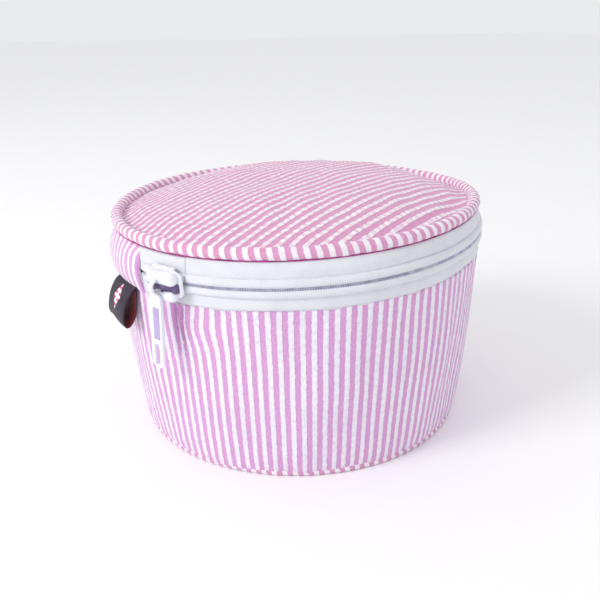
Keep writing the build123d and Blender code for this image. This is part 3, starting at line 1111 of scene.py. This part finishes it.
@dataclass
class Zip:
    """The two tapes and the coils sewn along them."""

    finishes: Finishes
    tape: float = 0.0009
    turn_pitch: float = 0.00112
    turn_width: float = 0.00070
    turn_length: float = 0.0023
    turn_depth: float = 0.0012
    turn_slant: float = 0.25
    overlap: float = 0.00030
    open_gap: float = 0.0006
    open_bulge: float = 0.0012
    open_bulge_at: float = 74
    rounding: float = 0.00022
    part_at: float = 0.0517
    lap: float = 0.02
    bare_end: float = 2.6

    def tape_outline(self, half: Half, top: float) -> list[tuple[float, float]]:
        """A tape's section: it lies on the wall, swells over the coil and turns in at the chain."""
        face = SIZES.tape_face
        swell = [(2.9, 0.2), (2.45, -0.1), (2.2, 0.1), (2.0, 1.0), (1.3, 1.5), (0.5, 1.7), (-0.5, 1.7),
                 (-1.2, 1.5), (-1.55, 1.1), (-1.6, 0.45)]
        chain = [(face + out * MM, SIZES.coil_middle + half.value * (2.3 + up) * MM) for up, out in swell]
        if half is Half.LOWER:
            edge = [(face - 0.0001, -0.0004), (face + 0.0003, 0.0016), (face + 0.0002, 0.0038)]
            line = edge + chain
        else:
            foot = SIZES.coil_middle + 0.0054
            drop = face - SIZES.junction_radius
            rise = top - foot
            edge = [(face + 0.00015 - drop * k ** 1.9, foot + rise * math.sin(k * math.pi / 2))
                    for k in rows(1, 0, 7)]
            line = edge + chain
        back = [(radius - self.tape, height) for radius, height in reversed(line[:-3])]
        return line + back

    def tape_piece(self, name: str, half: Half, stretch: Stretch, top: float) -> bpy.types.Object:
        """One tape over one stretch of the rim."""
        steps = 12 * max(2, round(stretch.sweep / 9))
        shape = spin_profile(self.tape_outline(half, top), steps, stretch.start, stretch.sweep)
        piece = new_piece(name, shape, self.finishes.tape)
        lay_out(piece, ring_layout(SIZES.tape_face))

        def wavy(places: Points) -> Points:
            """Let the tape wander a little, as soft tape does."""
            off = np.abs(places[:, 2] - SIZES.coil_middle) / 0.012
            shift = 0.0004 * off * ripple(places * (42, 42, 30), 21) + 0.00018 * ripple(places * 70, 22)
            if stretch.name == "open_end":
                azimuth = np.degrees(np.arctan2(places[:, 1], places[:, 0]))
                beside = np.exp(-((azimuth - self.open_bulge_at) / 5) ** 2)
                shift += self.open_bulge * beside * np.exp(-((off - 0.3) / 0.5) ** 2)
            flat = np.hypot(places[:, 0], places[:, 1])
            aside = np.abs(np.degrees(np.arctan2(places[:, 0], places[:, 1])))
            ends = np.clip((aside - SIZES.panel_half_angle - 0.3) / 3.2, 0, 1)
            shift -= np.clip(flat - SIZES.tape_face, 0, None) * (1 - ends * ends * (3 - 2 * ends))
            moved = places.copy()
            moved[:, :2] *= (1 + shift / flat)[:, None]
            start = SIZES.coil_middle + 0.0044
            moved[:, 2] -= sag(places) * np.clip((places[:, 2] - start) / (top - start), 0, 1)
            return moved

        mould(piece, wavy)
        return piece

    def coil_piece(self, name: str, half: Half, stretch: Stretch) -> bpy.types.Object:
        """One half of the chain: a row of slanted turns with a thread sewn over them."""
        count = max(2, int(math.radians(stretch.sweep) * SIZES.coil_radius / self.turn_pitch))
        angle = count * self.turn_pitch / SIZES.coil_radius
        shape = bmesh.new()
        bmesh.ops.create_cube(shape, size=1.0)
        bmesh.ops.scale(shape, verts=shape.verts,
                        vec=(self.turn_depth, self.turn_width, self.turn_length))
        bmesh.ops.bevel(shape, geom=shape.edges[:], offset=self.rounding, segments=1, profile=0.5,
                        affect="EDGES", material=-1)
        for dot in shape.verts:
            dot.co.y += half.value * self.turn_slant * dot.co.z
        # The two halves stand apart at the open end, where the slider's neck parks.
        overlap = -self.open_gap if stretch.name == "open_end" else self.overlap
        lift = half.value * (self.turn_length / 2 - overlap)
        start = math.radians(stretch.start) + (0.5 * self.turn_pitch / SIZES.coil_radius
                                               if half is Half.UPPER else 0.0)
        place = Vector((SIZES.tape_face + self.turn_depth / 2 - 0.0001, 0, SIZES.coil_middle + lift))
        bmesh.ops.translate(shape, verts=shape.verts, vec=place)
        bmesh.ops.rotate(shape, verts=shape.verts, cent=(0, 0, 0), matrix=Matrix.Rotation(start, 3, "Z"))
        bmesh.ops.spin(shape, geom=shape.verts[:] + shape.edges[:] + shape.faces[:], cent=(0, 0, 0),
                       axis=(0, 0, 1), angle=angle, steps=count, use_duplicate=True)
        piece = new_piece(name, shape, self.finishes.nylon)
        piece.data.transform(RIM.matrix)
        return piece

    def thread_piece(self, name: str, half: Half, stretch: Stretch) -> bpy.types.Object:
        """The sewing thread that holds the coil, a low line along each half."""
        radius = SIZES.tape_face + 0.00022
        height = SIZES.coil_middle + half.value * 0.0046
        count = max(16, round(stretch.sweep * 2))
        path = []
        for angle in rows(math.radians(stretch.start), math.radians(stretch.start + stretch.sweep), count):
            path.append(RIM.matrix @ Vector((radius * math.cos(angle), radius * math.sin(angle), height)))
        return thread_tube(name, path, 0.00016, self.finishes.thread)

    def build(self) -> None:
        """Make both tapes, both rows of turns and their threads on every stretch."""
        start = 90 + SIZES.panel_half_angle + 0.1
        part = math.degrees(math.acos(self.part_at / SIZES.tape_face))
        whole = Stretch("zip", Body.CASE, start, 360 - 2 * (SIZES.panel_half_angle + 0.1))
        free = Stretch("lid_zip", Body.LID, 180 - part + self.lap, 180 + 2 * part - 2 * self.lap)
        closed = Stretch("closed_end", Body.CASE, start, 180 - part - self.lap - start)
        opened = Stretch("open_end", Body.CASE, part + self.lap, 180 - start - part - self.lap)
        self.sew("lower_tape", Half.LOWER, whole, 0.0, "lower_zip_tape", "lower_zip_coil")
        self.sew("upper_tape", Half.UPPER, free, 0.0232, "upper_zip_tape", "upper_zip_coil")
        for stretch in (closed, opened):
            self.sew(f"{stretch.name}_tape", Half.UPPER, stretch, 0.0225,
                     f"{stretch.name}_upper_tape", f"{stretch.name}_upper_coil")

    def sew(self, name: str, half: Half, stretch: Stretch, top: float, tape_node: str,
            coil_node: str) -> None:
        """Make one tape with its coil and thread, in place of two frame nodes."""
        tape = self.tape_piece(name, half, stretch, top)
        tape.data.transform(RIM.matrix)
        settle(tape, stretch.body, Slot.TAPE, tape_node)
        coil = self.coil_piece(f"{name}_coil", half, stretch.trimmed(self.bare_end))
        settle(coil, stretch.body, Slot.COIL, coil_node)
        thread = self.thread_piece(f"{name}_thread", half, stretch)
        settle(thread, stretch.body, Slot.COIL)


# ---------------------------------------------------------------- the hinge


@dataclass
class Hinge:
    """The short striped panel at the back that the lid folds on."""

    finishes: Finishes
    cloth: float = 0.0010
    bulge: float = 0.0030
    flare: float = 2.4
    spread: float = 13.2
    rows_up: int = 30

    def face(self, share: float) -> tuple[float, float]:
        """The panel's outer face, from the wall seam (0) to the piping seam (1)."""
        height = -0.0006 + 0.0232 * share
        chord = SIZES.tape_face + (SIZES.junction_radius + 0.0004 - SIZES.tape_face) * share ** 3
        return chord + self.bulge * math.sin(math.pi * share ** 0.95) ** 0.75, height

    def panel(self, name: str, inset: float, thickness: float,
              material: bpy.types.Material) -> bpy.types.Object:
        """One layer of the panel, bulging and a little fuller at its edges."""
        face = [self.face(share) for share in rows(0, 1, self.rows_up)]
        outer = [(radius - inset, height) for radius, height in face]
        inner = [(radius - inset - thickness, height) for radius, height in reversed(face)]
        shape = spin_profile(outer + inner, 44, 90 - self.spread, 2 * self.spread)
        piece = new_piece(name, shape, material)
        round_wall = SIZES.wall_stripes * SIZES.stripe_pitch / TURN
        lay_out(piece, ring_layout(round_wall))

        def shaper(places: Points) -> Points:
            """Flare the top corners over the tape ends and puff the cloth."""
            angle = np.degrees(np.arctan2(places[:, 1], places[:, 0])) - 90
            side = angle / self.spread
            up = np.clip((places[:, 2] - 0.0165) / 0.0060, 0, None)
            angle += self.flare * side * up ** 2
            angle -= 0.35 * side * np.sin(math.pi * places[:, 2] / SIZES.band_height)
            flat = np.hypot(places[:, 0], places[:, 1])
            edge = np.clip((np.abs(side) - 0.86) / 0.14, 0, None)
            flat += 0.0005 * ripple(places * (90, 90, 40), 31) - 0.0006 * edge ** 2
            turn = np.radians(angle + 90)
            return np.column_stack((flat * np.cos(turn), flat * np.sin(turn), places[:, 2]))

        mould(piece, shaper)
        piece.data.transform(RIM.matrix)
        return piece

    def build(self) -> None:
        """Make the panel and its lining, between the case and the lid."""
        low = RIM.matrix @ Vector((0, SIZES.coil_radius, 0.0008))
        high = RIM.matrix @ Vector((0, SIZES.coil_radius, SIZES.band_height - 0.0012))
        layers = (
            (self.panel("hinge_cover", 0.0, self.cloth, self.finishes.wall), Slot.STRIPED, "hinge_panel"),
            (self.panel("hinge_lining_cloth", self.cloth + 0.0002, 0.0006, self.finishes.lining),
             Slot.LINING, "hinge_lining"),
        )
        for piece, slot, node in layers:
            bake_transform(piece)
            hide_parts(node)
            LOG.info("%s: bends between case and lid", piece.name)


# ---------------------------------------------------------------- slider and pull


@dataclass
class Slider:
    """The enamelled slider, its crown, and the long pull hanging from it."""

    finishes: Finishes
    length: float = 0.0205
    width: float = 0.0154
    plate: float = 0.0017
    outer_face: float = 0.0015
    inner_face: float = -0.0025
    crown_rise: float = 0.0056
    crown_length: float = 0.0150
    crown_width: float = 0.0020
    pull_length: float = 0.0425
    pull_width: float = 0.0072
    pull_lean: float = 7.0
    pull_depth: float = 0.0020
    slot_length: float = 0.0110
    slot_width: float = 0.0032

    @property
    def matrix(self) -> Matrix:
        """Where the slider stands, facing out from the chain's centre line."""
        return RIM.facing(SIZES.slider_azimuth, SIZES.coil_radius, SIZES.coil_middle)

    def plate_piece(self, name: str, low: float, scale: float, domed: float) -> bpy.types.Object:
        """One plate: a shield outline, drawn to the rim's curve, its edges rolled over.

        Args:
            name: The piece's name.
            low: Height of the plate's back face above the chain's centre.
            scale: Its width across the zip, as a share of the outer plate's.
            domed: How far its middle stands out.

        Returns:
            The plate.
        """
        shape = bmesh.new()
        half = [(-10.2, 4.6), (-9.4, 5.5), (-6.5, 6.1), (-3.2, 7.1), (-0.4, 7.9), (1.6, 8.1), (4.2, 7.6),
                (7.4, 6.2), (9.5, 5.2), (10.3, 4.2)]
        outline = [(x, y * scale) for x, y in half] + [(x, -y * scale) for x, y in reversed(half)]
        dots = [shape.verts.new((x * MM, y * MM, low)) for x, y in outline]
        shape.faces.new(dots)
        thicken(shape, self.plate)
        bmesh.ops.recalc_face_normals(shape, faces=shape.faces)
        rims = [e for e in shape.edges if e.calc_face_angle(0) > 1.2]
        bmesh.ops.bevel(shape, geom=rims, offset=0.0007, segments=3, profile=0.5,
                        affect="EDGES", material=-1)
        for dot in shape.verts:
            across = min(1.0, abs(dot.co.y) / (self.width / 2 * scale))
            ahead = min(1.0, abs(dot.co.x) / (self.length / 2))
            if dot.co.z > low + self.plate * 0.6:
                dot.co.z += domed * (1 - across ** 2) * (1 - ahead ** 4)
            dot.co.z -= dot.co.x ** 2 / (2 * SIZES.coil_radius)
        bmesh.ops.recalc_face_normals(shape, faces=shape.faces)
        piece = new_piece(name, shape, self.finishes.enamel)
        piece.data.transform(self.matrix)
        return piece

    def pillow(self, name: str, low: tuple[float, float, float], high: tuple[float, float, float],
               rounding: float, material: bpy.types.Material) -> bpy.types.Object:
        """A smooth raised block on the outer plate, between two corners in millimetres."""
        start, end = Vector(low) * MM, Vector(high) * MM
        shape = rounded_box(end - start, (start + end) / 2, rounding, 6)
        bmesh.ops.subdivide_edges(shape, edges=shape.edges[:], cuts=1)
        for dot in shape.verts:
            dot.co.z -= (dot.co.x ** 2 / (2 * SIZES.coil_radius)
                         + 0.10 * max(0.0, abs(dot.co.x) - 0.004))
        piece = new_piece(name, shape, material)
        piece.data.transform(self.matrix)
        return piece

    def flange(self, side: int) -> bmesh.types.BMesh:
        """A rail folded in along one edge of the outer plate."""
        centre = Vector((-0.0012, side * (self.width / 2 - 0.0009), self.outer_face - 0.0006))
        return rounded_box(Vector((self.length * 0.66, 0.0012, 0.0016)), centre, 0.0004, 2)

    def sweep_bar(self, name: str, path: Sequence[tuple[float, float]], widths: Sequence[float],
                  thicknesses: Sequence[float], material: bpy.types.Material) -> bpy.types.Object:
        """A rounded bar along a path in the slider's own x-z plane.

        Args:
            name: The piece's name.
            path: Points (x, z) along the bar's middle.
            widths: Full width across the slider at each point.
            thicknesses: Full thickness at each point.
            material: The bar's finish.

        Returns:
            The bar, in place.
        """
        shape = bmesh.new()
        sides = 16
        loops = []
        for index, (x, z) in enumerate(path):
            before = Vector(path[max(0, index - 1)])
            after = Vector(path[min(len(path) - 1, index + 1)])
            heading = (after - before).normalized()
            normal = Vector((-heading.y, heading.x))
            made = bmesh.ops.create_circle(shape, segments=sides, radius=1.0)["verts"]
            for dot in made:
                c, s = dot.co.x, dot.co.y
                square = 1 / max(abs(c), abs(s)) ** 0.35
                out = s * square * thicknesses[index] / 2
                dot.co = (x + normal.x * out, c * square * widths[index] / 2, z + normal.y * out)
            loops.append(made)
        for first, second in zip(loops, loops[1:]):
            edges = [e for e in shape.edges if all(v in first for v in e.verts)
                     or all(v in second for v in e.verts)]
            bmesh.ops.bridge_loops(shape, edges=edges)
        for ring in (loops[0], loops[-1]):
            shape.faces.new(ring)
        bmesh.ops.recalc_face_normals(shape, faces=shape.faces)
        piece = new_piece(name, shape, material)
        piece.data.transform(self.matrix)
        return piece

    def crown_piece(self) -> bpy.types.Object:
        """The smooth arch over the outer plate, broad in the middle."""
        base = self.outer_face + 0.0012
        rise = self.crown_rise - 0.0010
        path = []
        widths = []
        thicknesses = []
        for share in rows(-1, 1, 20):
            arch = max(0.0, 1 - abs(share) ** 3.2) ** 0.5
            path.append((share * self.crown_length / 2, base + rise * arch))
            widths.append(self.crown_width * (0.62 + 0.38 * arch))
            thicknesses.append(0.0021 - 0.0004 * arch)
        # The arch takes the dark painted-shade enamel, as it lies in the shade under the hood.
        return self.sweep_bar("slider_crown_arch", path, widths, thicknesses, self.finishes.shaded)

    def build(self) -> None:
        """Make the slider's plates, neck and crown, then the pull."""
        outer = self.plate_piece("slider_outer_plate", self.outer_face, 1.0, 0.0007)
        inner = self.plate_piece("slider_inner_plate", self.inner_face - self.plate, 0.72, 0.0)
        settle(outer, Body.SLIDER, Slot.ZINC, "slider_body")
        settle(inner, Body.SLIDER, Slot.ZINC)
        for side, name in ((-1, "slider_lower_rail"), (1, "slider_upper_rail")):
            rail = new_piece(name, self.flange(side), self.finishes.enamel)
            rail.data.transform(self.matrix)
            settle(rail, Body.SLIDER, Slot.ZINC)
        neck = bmesh.new()
        bmesh.ops.create_cone(neck, cap_ends=True, segments=24, radius1=0.0006, radius2=0.0006,
                              depth=self.outer_face - self.inner_face + 0.0004)
        bmesh.ops.scale(neck, verts=neck.verts, vec=(4.2, 0.42, 1.0))
        bmesh.ops.translate(neck, verts=neck.verts,
                            vec=(-self.length * 0.33, 0, (self.outer_face + self.inner_face) / 2))
        post = new_piece("slider_neck", neck, self.finishes.enamel)
        post.data.transform(self.matrix)
        settle(post, Body.SLIDER, Slot.ZINC)
        settle(self.crown_piece(), Body.SLIDER, Slot.ZINC, "slider_crown")
        raised = (
            ("slider_hood", (-7.8, 0.0, 2.6), (8.9, 6.7, 7.8), 0.0025, self.finishes.enamel),
            ("slider_boss", (0.9, -7.6, 2.4), (7.8, -2.3, 7.0), 0.0019, self.finishes.enamel),
            # A dark block under the hood: painted shade, filling the slit where the hood's lip shadows the
            # plate.
            ("slider_recess_shadow", (-5.6, -3.6, 2.8), (9.1, 0.9, 5.9), 0.0010, self.finishes.shaded),
        )
        for name, low, high, rounding, material in raised:
            settle(self.pillow(name, low, high, rounding, material), Body.SLIDER, Slot.ZINC)
        self.build_pull()

    def build_pull(self) -> None:
        """Make the pull: an eye over the crown, and a long tab with a recess and a slot."""
        bar = self.outer_face + self.plate + self.crown_rise - 0.0011
        lean = Matrix.Rotation(math.radians(-self.pull_lean), 4, "Z")
        hang = self.matrix @ Matrix.Translation((-0.0008, 0, bar)) @ lean
        tab = self.tab_shape()
        piece = new_piece("pull_plate", tab, self.finishes.enamel)
        piece.data.transform(hang)
        settle(piece, Body.PULL, Slot.ZINC, "pull_tab")
        # A lavender plate on the recess floor: painted shade, for the shadow that the rim casts into the
        # recess.
        floor = rounded_box(Vector((0.0042, 0.0165, 0.0012)), Vector((0, -0.0190, 0)), 0.0003, 2)
        inset = new_piece("pull_recess_shadow", floor, self.finishes.lilac_recess_shade)
        inset.data.transform(hang)
        settle(inset, Body.PULL, Slot.ZINC)
        outline = [(0.0031 + 0.0008 * math.cos(TURN * k / 12), 0.0014 * math.sin(TURN * k / 12))
                   for k in range(12)]
        ring = spin_profile(outline, 40)
        turned = Matrix.Rotation(math.pi / 2, 4, "Y")
        bmesh.ops.transform(ring, matrix=turned, verts=ring.verts)
        loop = new_piece("pull_eye", ring, self.finishes.enamel)
        loop.data.transform(hang)
        settle(loop, Body.PULL, Slot.ZINC)

    def tab_shape(self) -> bmesh.types.BMesh:
        """The pull's flat part: round ended, with a raised rim, a recess and a slot."""
        top = -0.0034
        foot = -self.pull_length
        half = self.pull_width / 2
        shape = bmesh.new()
        bmesh.ops.create_grid(shape, x_segments=10, y_segments=46, size=0.5)
        length = top - foot
        for dot in shape.verts:
            dot.co = (dot.co.x * self.pull_width, foot + (dot.co.y + 0.5) * length, 0)
        # Round the two ends.
        for dot in shape.verts:
            for end, way in ((foot, 1), (top, -1)):
                into = (dot.co.y - end) * way
                if into < half:
                    reach = math.sqrt(max(0.0, 1 - (1 - into / half) ** 2)) * half
                    ease = 0.62 * half + 0.38 * reach if way < 0 else max(reach, 0.35 * half)
                    dot.co.x *= ease / half
        centre = foot + 0.0018 + self.slot_length / 2
        doomed = [f for f in shape.faces
                  if abs(f.calc_center_median().x) < self.slot_width / 2
                  and abs(f.calc_center_median().y - centre) < self.slot_length / 2]
        bmesh.ops.delete(shape, geom=doomed, context="FACES")
        thicken(shape, self.pull_depth)
        bmesh.ops.translate(shape, verts=shape.verts, vec=(0, 0, -self.pull_depth / 2))
        bmesh.ops.recalc_face_normals(shape, faces=shape.faces)
        rims = [e for e in shape.edges if e.calc_face_angle(0) > 0.9]
        bmesh.ops.bevel(shape, geom=rims, offset=0.0004, segments=3, profile=0.5,
                        affect="EDGES", material=-1)
        recess_low = centre + self.slot_length / 2 + 0.0012
        recess_high = top - 0.0030
        middle = (recess_low + recess_high) / 2
        span = (recess_high - recess_low) / 2
        for dot in shape.verts:
            side = abs(dot.co.x) / (half * 0.62)
            run = abs(dot.co.y - middle) / span
            sink = 1 / (1 + math.exp((side - 1) * 16)) / (1 + math.exp((run - 1) * 40))
            dot.co.z -= math.copysign(0.00062 * sink, dot.co.z)
        return shape


# ---------------------------------------------------------------- the label


@dataclass
class Label:
    """The folded ribbon sewn into the seam below the hinge."""

    finishes: Finishes
    azimuth: float = 93.0
    width: float = 0.0245
    ribbon: float = 0.0006

    def path(self) -> list[tuple[float, float]]:
        """The loop's line outwards and down from the seam, evenly walked."""
        route = [Vector(p) * MM for p in ((0.2, 1.2), (3.4, -0.9), (7.4, -7.0), (9.3, -14.5),
                                          (8.2, -18.2), (5.2, -17.2), (2.0, -11.5), (0.9, -4.5),
                                          (0.2, -0.4))]
        walked = []
        for index in range(len(route) - 1):
            before = route[max(0, index - 1)]
            first, second = route[index], route[index + 1]
            after = route[min(len(route) - 1, index + 2)]
            for step in range(6):
                share = step / 6
                walked.append(tuple(
                    0.5 * (2 * b + (c - a) * share + (2 * a - 5 * b + 4 * c - d) * share ** 2
                           + (3 * b - a - 3 * c + d) * share ** 3)
                    for a, b, c, d in zip(before, first, second, after)))
        walked.append(tuple(route[-1]))
        return walked

    def build(self) -> None:
        """Make the loop, its motif centred on the outer face."""
        walked = self.path()
        lengths = [0.0]
        for first, second in zip(walked, walked[1:]):
            lengths.append(lengths[-1] + math.dist(first, second))
        centre = 0.0095
        shape = bmesh.new()
        uv = shape.loops.layers.uv.new("layout")
        across_steps = 20
        dots = [shape.verts.new((-self.width / 2, up, out)) for out, up in walked]
        edges = [shape.edges.new(pair) for pair in zip(dots, dots[1:])]
        current = edges
        for _ in range(across_steps):
            made = bmesh.ops.extrude_edge_only(shape, edges=current)["geom"]
            moved = [g for g in made if isinstance(g, bmesh.types.BMVert)]
            bmesh.ops.translate(shape, verts=moved, vec=(self.width / across_steps, 0, 0))
            current = [g for g in made if isinstance(g, bmesh.types.BMEdge)
                       and all(v in moved for v in g.verts)]
        nearest = {}
        for dot in shape.verts:
            here = (dot.co.z, dot.co.y)
            nearest[dot] = min(range(len(walked)), key=lambda k: math.dist(walked[k], here))
        for face in shape.faces:
            for loop in face.loops:
                loop[uv].uv = (loop.vert.co.x, centre - lengths[nearest[loop.vert]])
        for dot in shape.verts:
            share = dot.co.x / (self.width / 2)
            low = min(1.0, lengths[nearest[dot]] / 0.012)
            dot.co.z += 0.0006 * math.sin(share * 2.2 + 0.6) * low
            dot.co.y += 0.0005 * math.cos(share * 1.7) * low
        bmesh.ops.recalc_face_normals(shape, faces=shape.faces)
        piece = new_piece("label_ribbon_loop", shape, self.finishes.ribbon)
        piece.data.materials.append(self.finishes.ribbon_back)
        piece.data.transform(RIM.facing(self.azimuth, SIZES.seam_radius, 0.0))
        self.thicken(piece)
        settle(piece, Body.CASE, Slot.RIBBON, "label_loop")

    def thicken(self, piece: bpy.types.Object) -> None:
        """Give the ribbon its thickness, with its reverse on the inside of the loop."""
        middle = sum((dot.co for dot in piece.data.vertices), Vector()) / len(piece.data.vertices)
        outwards = sum(face.normal.dot(face.center - middle) * face.area for face in piece.data.polygons)
        solid = piece.modifiers.new("ribbon", "SOLIDIFY")
        solid.thickness = self.ribbon
        solid.offset = -1.0
        solid.material_offset = 1
        if outwards < 0:
            piece.data.flip_normals()


# ---------------------------------------------------------------- inner bindings and carried nodes


def bind_rim(finishes: Finishes) -> None:
    """The tape that covers the raw seam inside the rim."""
    inner = SIZES.seam_radius - 0.0042
    outline = [(inner - 0.0009, -0.0070), (inner - 0.0008, 0.0), (inner - 0.0011, 0.0015),
               (inner - 0.0018, 0.0015), (inner - 0.0016, 0.0), (inner - 0.0016, -0.0070)]
    strip = new_piece("rim_binding", spin_profile(outline, 300), finishes.binding)
    lay_out(strip, ring_layout(inner))
    strip.data.transform(RIM.matrix)
    settle(strip, Body.CASE, Slot.BINDING, "rim_seam_binding")


def dress_frame(finishes: Finishes) -> None:
    """Give the nodes that stay on show, inside the cloth, their own finishes."""
    kept = {"base_board": finishes.board, "base_welt_cord": finishes.cord}
    for name, material in kept.items():
        node = frame["nodes"][name]
        for slot in node.material_slots:
            slot.material = material


# ---------------------------------------------------------------- studio


@dataclass(frozen=True)
class Studio:
    """A pale floor, soft lights and the camera."""

    stand: Vector = Vector((-0.3554, 0.1870, 0.2139))
    heading: Vector = Vector((0.8616, -0.5075, 0.0))
    pitch: float = 0.4086
    lens: float = 44.37
    shift: tuple[float, float] = (-0.0556, 0.0525)
    key_power: float = 12.4
    top_power: float = 0.6
    sky_strength: float = 0.84

    def floor(self) -> None:
        """A wide pale floor."""
        shape = bmesh.new()
        bmesh.ops.create_grid(shape, x_segments=1, y_segments=1, size=6.0)
        graph = NodeGraph("studio_floor")
        grain = graph.noise(graph.place(), 30.0, 2.0)
        colour = graph.mix(grain, srgb(252, 252, 253), srgb(249, 249, 251))
        sheet = new_piece("studio_floor", shape, graph.surface(colour, None, 0.9))

    def light(self, name: str, place: Vector, size: float, power: float,
              colour: tuple[float, float, float]) -> None:
        """One soft square light, aimed at the box."""
        lamp = bpy.data.lights.new(name, "AREA")
        lamp.size = size
        lamp.energy = power
        lamp.color = colour
        holder = bpy.data.objects.new(name, lamp)
        holder.location = place
        aim = Vector((0, 0, 0.06)) - place
        holder.rotation_euler = aim.to_track_quat("-Z", "Y").to_euler()
        bpy.context.scene.collection.objects.link(holder)

    def camera(self) -> None:
        """The camera that looks down on the box from the slider's side."""
        data = bpy.data.cameras.new("camera")
        data.lens = self.lens
        data.sensor_width = 36.0
        data.shift_x, data.shift_y = self.shift
        data.clip_start = 0.01
        holder = bpy.data.objects.new("camera", data)
        look = self.heading * math.cos(self.pitch) - Vector((0, 0, math.sin(self.pitch)))
        holder.location = self.stand
        holder.rotation_euler = look.to_track_quat("-Z", "Y").to_euler()
        bpy.context.scene.collection.objects.link(holder)
        bpy.context.scene.camera = holder

    def build(self) -> None:
        """Set the floor, the lights, the sky and the camera."""
        self.floor()
        self.camera()
        bpy.context.scene.view_settings.view_transform = "Standard"
        ahead = self.heading
        left = Vector((0.5075, 0.8616, 0.0))
        up = Vector((0, 0, 1))
        self.light("key", -ahead * 0.8 + left * 1.2 + up * 1.0, 0.6, self.key_power, (1.0, 0.99, 0.98))
        self.light("top", ahead * 0.3 + up * 1.6, 1.4, self.top_power, (1.0, 0.98, 0.96))
        world = bpy.data.worlds.new("studio")
        world.use_nodes = True
        sky = world.node_tree.nodes["Background"]
        sky.inputs[0].default_value = (0.98, 0.985, 1.0, 1.0)
        sky.inputs[1].default_value = self.sky_strength
        bpy.context.scene.world = world


def main() -> None:
    """Build every sub-assembly in order, then the studio."""
    logging.basicConfig(level=logging.INFO, format="%(name)s %(message)s")
    finishes = Finishes()
    Drum(finishes).build()
    bind_rim(finishes)
    Zip(finishes).build()
    Hinge(finishes).build()
    Lid(finishes).build()
    Slider(finishes).build()
    Label(finishes).build()
    dress_frame(finishes)
    Studio().build()


if __name__ == "__main__":
    main()
